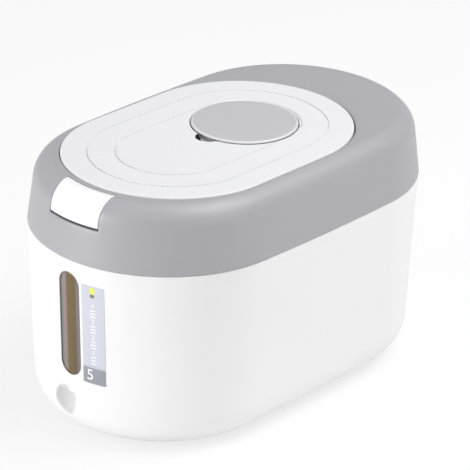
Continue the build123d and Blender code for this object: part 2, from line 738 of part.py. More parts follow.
well_floor = recess_floor - liner_thickness
with BuildPart() as lid_liner:
    with BuildSketch(Plane.XY.offset(liner_bottom)):
        add(track(lid_half_length - liner_inset, lid_half_width - liner_inset))
    extrude(amount=liner_thickness)
    with BuildSketch(Plane.XY.offset(well_floor)):
        with Locations((0, cap_middle)):
            Circle(recess_radius + liner_thickness)
        with Locations((0, notch_middle)):
            Circle(notch_front + notch_floor)
    extrude(amount=panel_bottom - well_floor)
    with BuildSketch(Plane.XY.offset(recess_floor)):
        with Locations((0, cap_middle)):
            Circle(recess_radius)
    extrude(amount=panel_bottom - recess_floor, mode=Mode.SUBTRACT)
    with BuildSketch(Plane.XY.offset(well_floor)):
        with Locations((0, cap_middle)):
            Circle(cup_radius + fit_gap)
    extrude(amount=liner_thickness, mode=Mode.SUBTRACT)
    with Locations((0, notch_middle, lid_edge_top - notch_depth + notch_radius)):
        Sphere(notch_radius, mode=Mode.SUBTRACT)
    # two gooseneck arms: a bend round the pin, a spoke back to it and a boss on it
    arm_radius = (arm_inner + arm_outer) / 2
    arm_root = hinge_turn(arm_radius, arm_start)
    for side in (-1, 1):
        with BuildSketch(Plane.YZ.offset(side * arm_middle - arm_width / 2)):
            with BuildLine():
                RadiusArc(hinge_turn(arm_outer, arm_start), hinge_turn(arm_outer, arm_end), -arm_outer)
                Line(hinge_turn(arm_outer, arm_end), hinge_turn(arm_inner, arm_end))
                RadiusArc(hinge_turn(arm_inner, arm_end), hinge_turn(arm_inner, arm_start), arm_inner)
                Line(hinge_turn(arm_inner, arm_start), hinge_turn(arm_outer, arm_start))
            make_face()
            with Locations((hinge_y, hinge_z)):
                Circle(arm_boss_radius)
            with Locations((hinge_y, hinge_z - arm_radius / 2)):
                Rectangle(arm_outer - arm_inner, arm_radius)
            with Locations((arm_root[0], (arm_root[1] + panel_bottom) / 2)):
                Rectangle(arm_outer - arm_inner, panel_bottom - arm_root[1])
            with Locations((hinge_y, hinge_z)):
                Circle(hinge_pin_radius + pin_clearance, mode=Mode.SUBTRACT)
        extrude(amount=arm_width)
    # hook at the front, its barb turned back towards the catch
    with BuildSketch(Plane.YZ.offset(-hook_width / 2)):
        with BuildLine():
            Polyline(
                (hook_front, liner_bottom + hook_root),
                (hook_front, hook_bottom),
                (hook_back, hook_bottom),
                (hook_back + hook_barb, hook_bottom + hook_barb_lead),
                (hook_back + hook_barb, hook_bottom + hook_barb_height),
                (hook_back, hook_bottom + hook_barb_height),
                (hook_back, liner_bottom - hook_gusset),
                (hook_back + hook_gusset, liner_bottom),
                (hook_back + hook_gusset, liner_bottom + hook_root),
                close=True,
            )
        make_face()
    extrude(amount=hook_width)
    with BuildSketch(Plane.XY.offset(liner_bottom)):
        with Locations(*liner_screw_places):
            Circle(small_screw_radius + screw_gap)
    extrude(amount=liner_thickness, mode=Mode.SUBTRACT)
lid_liner.part.label = "lid_liner"
export_step(lid_liner.part, "parts/lid_liner.step")

gasket_middle_width = mouth_half_width - mouth_wall / 2
gasket_middle_length = mouth_half_length - mouth_wall / 2
with BuildPart() as lid_gasket:
    with BuildSketch(Plane.XY.offset(rim_height + gasket_gap)):
        add(track(gasket_middle_length + gasket_width / 2, gasket_middle_width + gasket_width / 2))
        add(track(gasket_middle_length - gasket_width / 2, gasket_middle_width - gasket_width / 2),
            mode=Mode.SUBTRACT)
    extrude(amount=liner_bottom - rim_height - gasket_gap)
lid_gasket.part.label = "lid_gasket"
export_step(lid_gasket.part, "parts/lid_gasket.step")

with BuildPart() as liner_screws:
    with BuildSketch(Plane.XY.offset(liner_bottom)):
        with Locations(*liner_screw_places):
            Circle(small_screw_head_radius)
    extrude(amount=-small_screw_head)
    with BuildSketch(Plane.XY.offset(liner_bottom)):
        with Locations(*liner_screw_places):
            Circle(small_screw_radius)
    extrude(amount=small_screw_length)
liner_screws.part.label = "liner_screws"
export_step(liner_screws.part, "parts/liner_screws.step")

# ---- slotted cup under the cap ----
with BuildPart() as scent_cup:
    with BuildSketch(Plane.XY.offset(cup_bottom)):
        with Locations((0, cap_middle)):
            Circle(cup_radius)
    extrude(amount=cup_flange_top - cup_bottom)
    with BuildSketch(Plane.XY.offset(recess_floor)):
        with Locations((0, cap_middle)):
            Circle(cup_flange_radius)
    extrude(amount=cup_flange)
    with BuildSketch(Plane.XY.offset(cup_bottom + cup_wall)):
        with Locations((0, cap_middle)):
            Circle(cup_inner)
    extrude(amount=cup_flange_top - cup_bottom - cup_wall, mode=Mode.SUBTRACT)
    slot_height = cup_bottom + cup_wall + cup_slot_rise + cup_slot_height / 2
    with Locations((0, cap_middle, slot_height)):
        with PolarLocations(cup_radius, cup_slot_count):
            Box(4 * cup_wall, cup_slot_width, cup_slot_height, mode=Mode.SUBTRACT)
    with BuildSketch(Plane.XY.offset(cup_bottom)):
        with Locations((0, cap_middle)):
            with PolarLocations(cup_radius / 2, cup_slot_count // 2):
                SlotOverall(cup_radius / 2, cup_slot_width)
    extrude(amount=cup_wall, mode=Mode.SUBTRACT)
scent_cup.part.label = "scent_cup"
export_step(scent_cup.part, "parts/scent_cup.step")

# ---- lift-off cap ----
with BuildPart() as cap_disc:
    with BuildSketch(Plane.XY.offset(cap_bottom)):
        with Locations((0, cap_middle)):
            Circle(cap_radius)
    extrude(amount=cap_thickness)
    chamfer(cap_disc.edges().group_by(Axis.Z)[-1], length=cap_chamfer)
    with BuildSketch(Plane.XY.offset(cap_bottom - spigot_depth)):
        with Locations((0, cap_middle)):
            Circle(spigot_radius)
            Circle(spigot_radius - spigot_wall, mode=Mode.SUBTRACT)
    extrude(amount=spigot_depth)
cap_disc.part.label = "cap_disc"
export_step(cap_disc.part, "parts/cap_disc.step")

with BuildPart() as cap_seal:
    with BuildSketch(Plane.XY.offset(cup_flange_top + gasket_gap)):
        with Locations((0, cap_middle)):
            Circle(spigot_radius + fit_gap + seal_ring_width)
            Circle(spigot_radius + fit_gap, mode=Mode.SUBTRACT)
    extrude(amount=cap_bottom - cup_flange_top - gasket_gap)
cap_seal.part.label = "cap_seal"
export_step(cap_seal.part, "parts/cap_seal.step")
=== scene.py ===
"""Looks of an oval rice bin: grey collar, flip lid, push button and lift-off cap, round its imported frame."""
import json
import math

import bmesh
import bpy
import numpy as np
from mathutils import Matrix


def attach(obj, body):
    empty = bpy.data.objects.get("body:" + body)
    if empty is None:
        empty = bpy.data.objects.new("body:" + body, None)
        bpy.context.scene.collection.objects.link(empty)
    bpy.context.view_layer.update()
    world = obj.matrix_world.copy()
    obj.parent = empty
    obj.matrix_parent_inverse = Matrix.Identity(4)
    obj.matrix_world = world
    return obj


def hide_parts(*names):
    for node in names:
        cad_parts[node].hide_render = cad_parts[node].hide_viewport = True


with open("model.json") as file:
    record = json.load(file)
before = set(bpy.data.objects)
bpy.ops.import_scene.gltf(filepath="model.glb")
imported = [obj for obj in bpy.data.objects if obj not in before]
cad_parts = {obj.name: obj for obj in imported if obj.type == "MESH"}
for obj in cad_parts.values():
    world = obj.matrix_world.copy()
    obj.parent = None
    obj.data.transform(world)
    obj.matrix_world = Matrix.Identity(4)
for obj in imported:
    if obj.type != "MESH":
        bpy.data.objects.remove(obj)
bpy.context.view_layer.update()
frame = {"nodes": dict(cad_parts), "record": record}
NODES = frame["nodes"]
MM = 0.001


def added(name, data):
    """New object of some data, in the scene."""
    thing = bpy.data.objects.new(name, data)
    bpy.context.scene.collection.objects.link(thing)
    return thing


def standing(place, axes):
    """Matrix of an object at a place, with its X, Y and Z along three directions."""
    return Matrix.Translation(place) @ Matrix(axes).transposed().to_4x4()


# ---- camera, at the photograph's viewing angle ----
CAMERA_PLACE = (1.234680, -1.370876, 0.967008)
CAMERA_AXES = ((0.73790, 0.67453, 0.02276), (-0.30224, 0.30011, 0.90475), (0.60345, -0.67450, 0.42532))
CAMERA_LENS, CAMERA_SENSOR, CAMERA_NEAR = 228.37, 36.0, 0.05
camera_data = bpy.data.cameras.new("camera")
camera_data.lens = CAMERA_LENS
camera_data.sensor_width = CAMERA_SENSOR
camera_data.clip_start = CAMERA_NEAR
camera = added("camera", camera_data)
camera.matrix_world = standing(CAMERA_PLACE, CAMERA_AXES)
bpy.context.scene.camera = camera

# ---- light: metres and watts ----
LAMP_TARGET = (0.0, 0.0, 0.1)
LAMPS = {"key_lamp": ((-0.76, -1.86, 0.43), 0.9, 22.0), "top_lamp": ((0.60, 0.40, 1.50), 1.1, 16.9),
         "side_lamp": ((1.9, 0.1, 0.7), 1.2, 2.5)}        # place, width and power
SKY_STRENGTH, BACKDROP_STRENGTH = 0.48, 1.0


def aim(place, target):
    """Axes that point a lamp's -Z from place at target."""
    back = np.array(place) - np.array(target)
    back /= np.linalg.norm(back)
    right = np.cross((0.0, 0.0, 1.0), back)
    right /= np.linalg.norm(right)
    return right, np.cross(back, right), back


for name, (place, size, power) in LAMPS.items():
    lamp_data = bpy.data.lights.new(name, "AREA")
    lamp_data.shape = "SQUARE"
    lamp_data.size = size
    lamp_data.energy = power
    added(name, lamp_data).matrix_world = standing(place, aim(place, LAMP_TARGET))

# ---- sizes of the frame's main forms, in millimetres ----
HALF_LENGTH, HALF_WIDTH, SIDE_BOW = 152.5, 92.5, 1.1
END_RADIUS = HALF_WIDTH - SIDE_BOW
END_REACH = HALF_LENGTH - END_RADIUS
SIDE_OFFSET = (END_REACH ** 2 - SIDE_BOW ** 2) / (2 * SIDE_BOW)
SIDE_RADIUS = HALF_WIDTH + SIDE_OFFSET
JOIN_TURN = math.pi / 2 - math.atan2(END_REACH, SIDE_OFFSET)
JOIN_GAP = 1e-6           # keeps a column clear of the join of end and side
WALL = 2.4

COLLAR_LINE, COLLAR_DRAFT, COLLAR_ROUND = 133.5, math.radians(7.3), 16.7
CROWN, DECK, DECK_UNDER = 178.6, 178.0, 176.0
ROUND_Z = CROWN - COLLAR_ROUND
ROUND_IN = (ROUND_Z - COLLAR_LINE) * math.tan(COLLAR_DRAFT) + COLLAR_ROUND / math.cos(COLLAR_DRAFT)
OPENING_HALF_LENGTH, OPENING_HALF_WIDTH, OPENING_Y = 110.2, 75.5, -19.2
OPENING_REACH = OPENING_HALF_LENGTH - OPENING_HALF_WIDTH
SLOT_HALF, SLOT_FOOT, SLOT_STRIP = 21.8, 157.9, 3.2
BUTTON_HALF, BUTTON_FOOT, BUTTON_STRIP, BUTTON_SKIN = 21.3, 159.5, 3.7, 2.0

SHOULDER, SHELL_STEP, SHELL_DRAFT = 133.1, 0.4, math.radians(2.0)
SHELL_ROUND, SHELL_FLOOR = 25.5, 1.0
NECK_IN, NECK_TOP, BEAD_IN, BEAD_FOOT, BEAD_TOP = 3.9, 143.0, 3.15, 138.05, 139.65
FLOOR_Z = SHELL_FLOOR + SHELL_ROUND
FLOOR_IN = SHELL_STEP + (SHOULDER - FLOOR_Z) * math.tan(SHELL_DRAFT) + SHELL_ROUND / math.cos(SHELL_DRAFT)

WINDOW_HALF, WINDOW_FOOT, WINDOW_TOP, GASKET_RIM = 8.2, 49.0, 123.0, 0.9
WINDOW_MIDDLE = (WINDOW_FOOT + WINDOW_TOP) / 2
SCOOP_X, SCOOP_Z, SCOOP_TOP, SCOOP_DEPTH, SCOOP_RADIUS = -5.0, 26.0, 35.0, 6.4, 12.0
SCOOP_BALL = (SCOOP_RADIUS ** 2 + SCOOP_DEPTH ** 2) / (2 * SCOOP_DEPTH)
LABEL_X, LABEL_Z, LABEL_HALF, LABEL_TALL, LABEL_CORNER, LABEL_THICK = 19.8, 83.25, 8.4, 35.95, 1.0, 0.28

CAP_Y, CAP_EDGE = 16.0, 36.5
NOTCH_Y, NOTCH_Z, NOTCH_BALL, NOTCH_RIM = -19.7, 184.1, 10.5, 9.4
LID_HALF, LID_REACH, LID_Y, LID_UNDER = 74.9, 34.4, -19.5, 176.4


# ---- meshes worked out as whole arrays ----
def grid(x, y, z):
    """Points from their three coordinates, each an array or one value for all."""
    return np.stack(np.broadcast_arrays(x, y, z), -1)


def outward(points, faces):
    """Turns every face round if the signed volume is negative: the sum over triangles of one corner times the cross
    product of the other two."""
    a, b, c, d = (points[faces[:, k]] for k in range(4))
    volume = (a * np.cross(b, c)).sum() + (a * np.cross(c, d)).sum()
    return faces if volume > 0 else faces[:, ::-1]


def piece(name, points, faces, body, slot, replaced=(), crease=32.0, merge=1e-7):
    """Mesh object from points in millimetres and quads; points within merge metres of each other become one, and folds
    over crease degrees are sharp."""
    points = np.asarray(points, float).reshape(-1, 3) * MM
    faces = outward(points, np.asarray(faces))
    mesh = bpy.data.meshes.new(name)
    mesh.from_pydata(points.tolist(), [], faces.tolist())
    work = bmesh.new()
    work.from_mesh(mesh)
    bmesh.ops.remove_doubles(work, verts=work.verts, dist=merge)
    bmesh.ops.dissolve_degenerate(work, edges=work.edges, dist=merge)
    work.to_mesh(mesh)
    work.free()
    mesh.shade_smooth()
    mesh.set_sharp_from_angle(angle=math.radians(crease))
    mesh.materials.append(bpy.data.materials[slot])
    thing = added(name, mesh)
    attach(thing, body)
    if replaced:
        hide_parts(*replaced)
    return thing


def all_cells(points, wrap=False):
    """Mask that keeps every cell of a sheet of rows x columns x 3."""
    rows, columns = points.shape[:2]
    return np.ones((rows - 1, columns if wrap else columns - 1), bool)


def sheet_faces(outer, inner, keep, wrap=False, gathered=False):
    """A sheet with two sides, both arrays of rows x columns x 3: quads on each side where keep is true, and a wall
    wherever a kept cell meets a missing one or the sheet's border. wrap joins the last column to the first, and
    gathered says that the first row closes on itself and needs no wall."""
    rows, columns = outer.shape[:2]
    index = np.arange(rows * columns).reshape(rows, columns)
    behind = index + rows * columns
    if wrap:
        index = np.hstack([index, index[:, :1]])
        behind = np.hstack([behind, behind[:, :1]])
    a, b, c, d = index[:-1, :-1], index[:-1, 1:], index[1:, 1:], index[1:, :-1]
    e, f, g, h = behind[:-1, :-1], behind[:-1, 1:], behind[1:, 1:], behind[1:, :-1]
    quads = [np.stack([a, b, c, d], -1)[keep], np.stack([h, g, f, e], -1)[keep]]
    above = np.zeros((keep.shape[0] + 1, keep.shape[1]), bool)
    below = above.copy()
    above[1:], below[:-1] = keep, keep
    if gathered:
        above[0] = keep[0]
    across = np.stack([index[:, :-1], index[:, 1:], behind[:, 1:], behind[:, :-1]], -1)
    quads += [across[below & ~above][:, ::-1], across[above & ~below]]
    if wrap:
        before, after = np.roll(keep, 1, axis=1), keep
        first, last = index[:, :-1], behind[:, :-1]
    else:
        before = np.zeros((keep.shape[0], keep.shape[1] + 1), bool)
        after = before.copy()
        before[:, 1:], after[:, :-1] = keep, keep
        first, last = index, behind
    along = np.stack([first[:-1], first[1:], last[1:], last[:-1]], -1)
    quads += [along[after & ~before], along[before & ~after][:, ::-1]]
    points = np.concatenate([outer.reshape(-1, 3), inner.reshape(-1, 3)])
    return points, np.concatenate(quads)


def ring_faces(points, close_rows=False):
    """Quads of a grid of rows x columns x 3 whose columns, and rows where asked, close on themselves."""
    rows, columns = points.shape[:2]
    index = np.arange(rows * columns).reshape(rows, columns)
    index = np.hstack([index, index[:, :1]])
    if close_rows:
        index = np.vstack([index, index[:1]])
    quads = np.stack([index[:-1, :-1], index[:-1, 1:], index[1:, 1:], index[1:, :-1]], -1)
    return points.reshape(-1, 3), quads.reshape(-1, 4)


def farthest(inside, near, far):
    """Last value on the way from near to far for which inside holds, found by halving."""
    for _ in range(44):
        middle = (near + far) / 2
        held = inside(middle)
        near, far = np.where(held, middle, near), np.where(held, far, middle)
    return near


def plan(turn, inset):
    """Point of the bin's outline drawn in by inset, where turn is the direction its edge faces, from -Y towards +X.
    The ends are arcs round (0, -+reach) and the long sides are arcs of one large radius that meet them in line."""
    turn, inset = np.broadcast_arrays(np.asarray(turn, float), np.asarray(inset, float))
    out_x, out_y = np.sin(turn), -np.cos(turn)
    end = np.abs(out_y) > math.cos(JOIN_TURN)
    radius = np.where(end, END_RADIUS, SIDE_RADIUS) - inset
    middle_x = np.where(end, 0.0, -np.sign(out_x) * SIDE_OFFSET)
    middle_y = np.where(end, np.sign(out_y) * END_REACH, 0.0)
    return middle_x + radius * out_x, middle_y + radius * out_y


def shell_inset(z, depth=0.0):
    """How far the bin's wall stands in at height z: a straight drafted wall that ends in a round lower edge."""
    wall = SHELL_STEP + (SHOULDER - z) * math.tan(SHELL_DRAFT) + depth
    radius = SHELL_ROUND - depth
    drop = np.clip((FLOOR_Z - z) / radius, -1.0, 1.0)
    foot = FLOOR_IN - radius * np.sqrt(1 - drop ** 2)
    return np.where(z > FLOOR_Z - SHELL_ROUND * math.sin(SHELL_DRAFT), wall, foot)


def front_wall(x, z, depth=0.0):
    """Y of the bin's front wall at (x, z), depth inside its outer face."""
    return -END_REACH - np.sqrt((END_RADIUS - shell_inset(z, depth)) ** 2 - x ** 2)


SCOOP_Y = float(front_wall(0.0, np.array(SCOOP_Z))) + SCOOP_DEPTH - SCOOP_BALL        # the scooping ball's middle


def scoop_ball(x, z, wall=0.0):
    """Y of the ball that sinks the finger scoop, as far in as it reaches at (x, z), or far in front beside it."""
    reach = (SCOOP_BALL + wall) ** 2 - (x - SCOOP_X) ** 2 - (z - SCOOP_Z) ** 2
    return np.where(reach > 0, SCOOP_Y + np.sqrt(np.maximum(reach, 0.0)), -1e3)


def square_levels(inner):
    """Levels from -1 to 1: so many even cells from the middle to one half, then growing steps out to one."""
    half = np.r_[np.arange(1, inner + 1) * 0.5 / inner, 0.5 + 0.5 * np.array(EDGE_STEPS)]
    return np.r_[-half[::-1], 0.0, half]


def slot_rim(a, b, half, foot, top):
    """Point (x, z) of a round-ended slot's edge for a point (a, b) of the unit square's edge, by length along it."""
    straight = (top - foot) / 2 - half
    eighth = half * math.pi / 4
    on_side = np.abs(a) >= np.abs(b)
    run = np.where(on_side, b * (straight + eighth), 0.0)
    past = np.clip(np.abs(run) - straight, 0.0, None) / half
    side_x = np.sign(a) * half * np.cos(past)
    side_z = np.sign(run) * (np.minimum(np.abs(run), straight) + half * np.sin(past))
    lean = a * math.pi / 4
    end_x, end_z = half * np.sin(lean), np.sign(b) * (straight + half * np.cos(lean))
    return np.where(on_side, side_x, end_x), (foot + top) / 2 + np.where(on_side, side_z, end_z)


def scoop_rim(a, b):
    """Point (x, z) of the scoop's edge for a point (a, b) of the unit square's edge: flat along the square's top, and
    elsewhere where the ball meets the wall on a ray from the scoop's middle."""
    def sunk(x, z):
        return scoop_ball(x, z) > front_wall(x, z)

    nearest, widest, low = 2.0, 16.0, -math.pi / 4
    corner = math.asin((SCOOP_TOP - SCOOP_Z) / SCOOP_RADIUS)
    right = low + (b + 1) / 2 * (corner - low)
    ray = np.where(np.abs(b) > np.abs(a), -math.pi / 2 + a * math.pi / 4, np.where(a > 0, right, math.pi - right))
    reach = farthest(lambda r: sunk(SCOOP_X + r * np.cos(ray), SCOOP_Z + r * np.sin(ray)), nearest, widest)
    x, z = SCOOP_X + reach * np.cos(ray), SCOOP_Z + reach * np.sin(ray)
    sides = np.array([-1.0, 1.0])
    left, right = farthest(lambda r: sunk(SCOOP_X + r * sides, np.array(SCOOP_TOP)), nearest, widest)
    flat = (b >= np.abs(a)) & (b > 0)
    x = np.where(flat, SCOOP_X + (right - left) / 2 + a * (left + right) / 2, x)
    return x, np.where(flat, SCOOP_TOP, np.minimum(z, SCOOP_TOP))


# ---- shader nodes ----
COLOR, FLOAT = "NodeSocketColor", "NodeSocketFloat"


def feed(tree, node, values):
    """Links or sets a node's inputs: a socket is linked, and anything else becomes the input's own value."""
    for key, value in values.items():
        if isinstance(value, bpy.types.NodeSocket):
            tree.links.new(value, node.inputs[key])
        else:
            node.inputs[key].default_value = value
    return node


def node_at(tree, kind, values=(), **sets):
    """New shader node with its own properties set and its inputs fed."""
    made = tree.nodes.new(kind)
    for key, value in sets.items():
        setattr(made, key, value)
    return feed(tree, made, dict(values))


def effect(name, inputs, outputs):
    """Empty node group with named sockets: (name, socket type, default value)."""
    group = bpy.data.node_groups.new(name, "ShaderNodeTree")
    for label, kind, value in inputs:
        socket = group.interface.new_socket(label, in_out="INPUT", socket_type=kind)
        socket.default_value = value
    for label, kind in outputs:
        group.interface.new_socket(label, in_out="OUTPUT", socket_type=kind)
    return group, group.nodes.new("NodeGroupInput").outputs, group.nodes.new("NodeGroupOutput")


def rgb(red, green, blue):
    """Opaque colour."""
    return (red, green, blue, 1.0)


def place_in(tree):
    """Place on the object, in metres."""
    return node_at(tree, "ShaderNodeTexCoord").outputs["Object"]


def axes_in(tree, place):
    """X, Y and Z of a place in metres, each in millimetres."""
    scaled = node_at(tree, "ShaderNodeVectorMath", {0: place, 3: 1.0 / MM}, operation="SCALE")
    split = node_at(tree, "ShaderNodeSeparateXYZ", {0: scaled.outputs[0]})
    return split.outputs["X"], split.outputs["Y"], split.outputs["Z"]


def worked(tree, operation, first, second=0.0):
    """Sum, difference or another operation of two values."""
    return node_at(tree, "ShaderNodeMath", {0: first, 1: second}, operation=operation).outputs[0]


def product(tree, first, *others):
    """Product of two or more values."""
    for other in others:
        first = worked(tree, "MULTIPLY", first, other)
    return first


def noise(tree, place, scale, detail=2.0):
    """Strength of a noise texture read at a place."""
    values = {"Vector": place, "Scale": scale, "Detail": detail}
    return node_at(tree, "ShaderNodeTexNoise", values).outputs["Fac"]


def streaks(tree, place, scale, turn=(0.0, 0.0, 0.0), detail=2.0):
    """Noise drawn out by a scale for each axis, after a turn."""
    lines = node_at(tree, "ShaderNodeMapping", {"Vector": place, "Rotation": turn, "Scale": scale})
    return noise(tree, lines.outputs[0], 1.0, detail)


def ranged(tree, value, low, high, to_low=0.0, to_high=1.0):
    """Value mapped from one range to another, and held inside it."""
    values = {"Value": value, "From Min": low, "From Max": high, "To Min": to_low, "To Max": to_high}
    return node_at(tree, "ShaderNodeMapRange", values, clamp=True).outputs[0]


def falling(tree, value, low, high):
    """1 below low and 0 above high."""
    return ranged(tree, value, low, high, 1.0, 0.0)


def within(tree, value, low, high, soft=0.08):
    """1 where value lies between low and high."""
    rise = ranged(tree, value, low - soft, low + soft)
    return product(tree, rise, falling(tree, value, high - soft, high + soft))


def tinted(tree, share, first, second, blend="MIX"):
    """Mix of two colours."""
    values = {0: share, 6: first, 7: second}
    return node_at(tree, "ShaderNodeMix", values, data_type="RGBA", blend_type=blend).outputs[2]


def shaded(tree, colour, tone):
    """Colour with each of its channels multiplied by a tone."""
    grey = node_at(tree, "ShaderNodeCombineColor", {0: tone, 1: tone, 2: tone})
    return tinted(tree, 1.0, colour, grey.outputs[0], "MULTIPLY")


# ---- effects that several materials share ----
# moulded plastic: a fine spark-eroded grain, a slow drift in tone where the melt cooled, and uneven gloss
FLOW_SCALE, CLOUD_SCALE = 14.0, 55.0
moulded, given, result = effect(
    "moulded_plastic",
    [("Colour", COLOR, rgb(0.8, 0.8, 0.8)), ("Drift", FLOAT, 0.03), ("Grain Size", FLOAT, 1400.0),
     ("Gloss", FLOAT, 0.35), ("Gloss Spread", FLOAT, 0.08)],
    [("Colour", COLOR), ("Roughness", FLOAT), ("Height", FLOAT)])
place = place_in(moulded)
darkest = worked(moulded, "SUBTRACT", 1.0, given["Drift"])
tone = ranged(moulded, noise(moulded, place, FLOW_SCALE, 3.0), 0.3, 0.7, darkest, 1.0)
uneven = worked(moulded, "SUBTRACT", noise(moulded, place, CLOUD_SCALE, 4.0), 0.5)
feed(moulded, result, {
    "Colour": shaded(moulded, given["Colour"], tone),
    "Roughness": worked(moulded, "ADD", given["Gloss"], product(moulded, uneven, given["Gloss Spread"])),
    "Height": noise(moulded, place, given["Grain Size"])})

# handling: sparse hairlines that the light picks out, as thin stretched noise in two directions
HAIRLINES = ((0.5, (900.0, 30.0, 60.0)), (-0.9, (40.0, 760.0, 70.0)))        # turn about Z, and scales
handling, given, result = effect(
    "handling_marks", [("Roughness", FLOAT, 0.35), ("Amount", FLOAT, 0.06)], [("Roughness", FLOAT), ("Mask", FLOAT)])
place = place_in(handling)
mask = worked(handling, "MAXIMUM", *(
    ranged(handling, streaks(handling, place, stretch, (0.2, 0.1, turn_z), 1.0), 0.66, 0.74)
    for turn_z, stretch in HAIRLINES))
feed(handling, result, {
    "Mask": mask, "Roughness": worked(handling, "ADD", given["Roughness"], product(handling, mask, given["Amount"]))})

# brushed metal: fine lines along X, over slow changes of tone
BRUSH_SCALE, TARNISH_SCALE = (60.0, 4000.0, 4000.0), 220.0
brushed, given, result = effect(
    "brushed_lines", [("Colour", COLOR, rgb(0.6, 0.6, 0.6)), ("Gloss", FLOAT, 0.3)],
    [("Colour", COLOR), ("Roughness", FLOAT), ("Height", FLOAT)])
place = place_in(brushed)
streak = streaks(brushed, place, BRUSH_SCALE)
tone = ranged(brushed, noise(brushed, place, TARNISH_SCALE, 3.0), 0.3, 0.7, 0.86, 1.0)
feed(brushed, result, {
    "Colour": shaded(brushed, given["Colour"], tone), "Height": streak,
    "Roughness": worked(brushed, "ADD", given["Gloss"], ranged(brushed, streak, 0.3, 0.7, -0.07, 0.1))})


# ---- materials of the record's slots ----
def finish(slot, group, values, bump, settings, marks=0.0):
    """Material of one record slot: an effect group drives its colour, its roughness and a bump of (strength, distance),
    the settings go straight to the shader, and marks is how much the handling hairlines roughen it."""
    if slot in bpy.data.materials:
        bpy.data.materials.remove(bpy.data.materials[slot])
    material = bpy.data.materials.new(slot)
    material.use_nodes = True
    tree = material.node_tree
    look = node_at(tree, "ShaderNodeGroup", values, node_tree=group).outputs
    relief = node_at(tree, "ShaderNodeBump", {"Height": look["Height"], "Strength": bump[0], "Distance": bump[1]})
    rough = look["Roughness"]
    if marks:
        worn = node_at(tree, "ShaderNodeGroup", {"Roughness": rough, "Amount": marks}, node_tree=handling)
        rough = worn.outputs["Roughness"]
    feed(tree, tree.nodes["Principled BSDF"],
         {"Base Color": look["Colour"], "Roughness": rough, "Normal": relief.outputs[0], **settings})
    return material


def moulding(colour, drift, grain_size, gloss, gloss_spread):
    """Inputs of the moulded plastic effect."""
    return {"Colour": colour, "Drift": drift, "Grain Size": grain_size, "Gloss": gloss, "Gloss Spread": gloss_spread}


def repainted(material, share, colour, blend="MIX"):
    """Lays a second colour over a material's own, by the given share."""
    tree = material.node_tree
    base = tree.nodes["Principled BSDF"].inputs["Base Color"]
    tree.links.new(tinted(tree, share, base.links[0].from_socket, colour, blend), base)


def stained(material, mask, share, colour, shine=None):
    """Paints light or shade into a material: lays a second colour over it where the mask is 1, and there gives it the
    second shine, if any.
    """
    tree = material.node_tree
    repainted(material, product(tree, mask, share), colour)
    if shine is not None:
        level = tree.nodes["Principled BSDF"].inputs["Specular IOR Level"]
        tree.links.new(ranged(tree, mask, 0.0, 1.0, level.default_value, shine), level)


PLASTICS = {     # slot: inputs of moulding, bump strength, handling marks
    "bin_white": (rgb(0.875, 0.875, 0.875), 0.012, 1500.0, 0.34, 0.08, 0.05, 0.05),
    "frame_white": (rgb(0.84, 0.84, 0.85), 0.02, 1500.0, 0.38, 0.10, 0.06, 0.05),
    "lid_white": (rgb(0.805, 0.805, 0.835), 0.012, 1500.0, 0.36, 0.08, 0.05, 0.06),
    "button_white": (rgb(0.89, 0.89, 0.89), 0.010, 1500.0, 0.26, 0.06, 0.03, 0.08),
    "cup_white": (rgb(0.84, 0.84, 0.84), 0.02, 1300.0, 0.42, 0.10, 0.08, 0.04),
    "collar_grey": (rgb(0.385, 0.385, 0.412), 0.035, 1700.0, 0.42, 0.08, 0.12, 0.05),
    "cap_grey": (rgb(0.52, 0.52, 0.55), 0.03, 1700.0, 0.42, 0.08, 0.10, 0.06),
    "bracket_plastic": (rgb(0.60, 0.60, 0.61), 0.05, 1200.0, 0.5, 0.12, 0.12, 0.0),
    "seal_grey": (rgb(0.22, 0.20, 0.18), 0.08, 2200.0, 0.6, 0.1, 0.15, 0.0),
    "seal_rubber": (rgb(0.72, 0.72, 0.71), 0.05, 2200.0, 0.55, 0.12, 0.12, 0.0),
    "foot_rubber": (rgb(0.25, 0.25, 0.255), 0.1, 900.0, 0.75, 0.12, 0.3, 0.0),
}
METALS = {"screw_steel": (rgb(0.62, 0.62, 0.62), 0.34), "pin_steel": (rgb(0.68, 0.68, 0.68), 0.24),
          "spring_steel": (rgb(0.48, 0.48, 0.49), 0.3)}         # slot: colour, gloss
SHINE, COLLAR_SHINE = 0.45, 0.8
GRAIN_DEPTH, PRINT_DEPTH, BRUSH_DEPTH, BRUSH_STRENGTH = 0.0003, 0.0002, 0.0002, 0.08
for slot, (*look, strength, marks) in PLASTICS.items():
    shine = COLLAR_SHINE if slot == "collar_grey" else SHINE
    finish(slot, moulded, moulding(*look), (strength, GRAIN_DEPTH), {"Specular IOR Level": shine}, marks)
for slot, (colour, gloss) in METALS.items():
    finish(slot, brushed, {"Colour": colour, "Gloss": gloss}, (BRUSH_STRENGTH, BRUSH_DEPTH), {"Metallic": 1.0})

# smoked clear pane, coloured by x: grey, then a pinkish band that is a painted reflection, then the pane's olive brown
# tint, and pinkish again at the right edge
PANE_TINT_AND_REFLECTION = (
    (-8.2, rgb(0.27, 0.265, 0.255)), (-6.6, rgb(0.28, 0.27, 0.26)), (-5.4, rgb(0.42, 0.345, 0.325)),
    (-3.2, rgb(0.40, 0.325, 0.30)), (-1.8, rgb(0.245, 0.160, 0.068)), (1.5, rgb(0.240, 0.158, 0.048)),
    (5.0, rgb(0.205, 0.145, 0.065)), (7.2, rgb(0.34, 0.30, 0.31)))
pane = finish("smoked_pane", moulded, moulding(rgb(1.0, 1.0, 1.0), 0.16, 500.0, 0.12, 0.05), (0.02, PRINT_DEPTH),
              {"Transmission Weight": 0.35, "IOR": 1.49})
tree = pane.node_tree
across, _, _ = axes_in(tree, place_in(tree))
tint_and_reflection = node_at(tree, "ShaderNodeValToRGB", {0: ranged(tree, across, -WINDOW_HALF, WINDOW_HALF)})
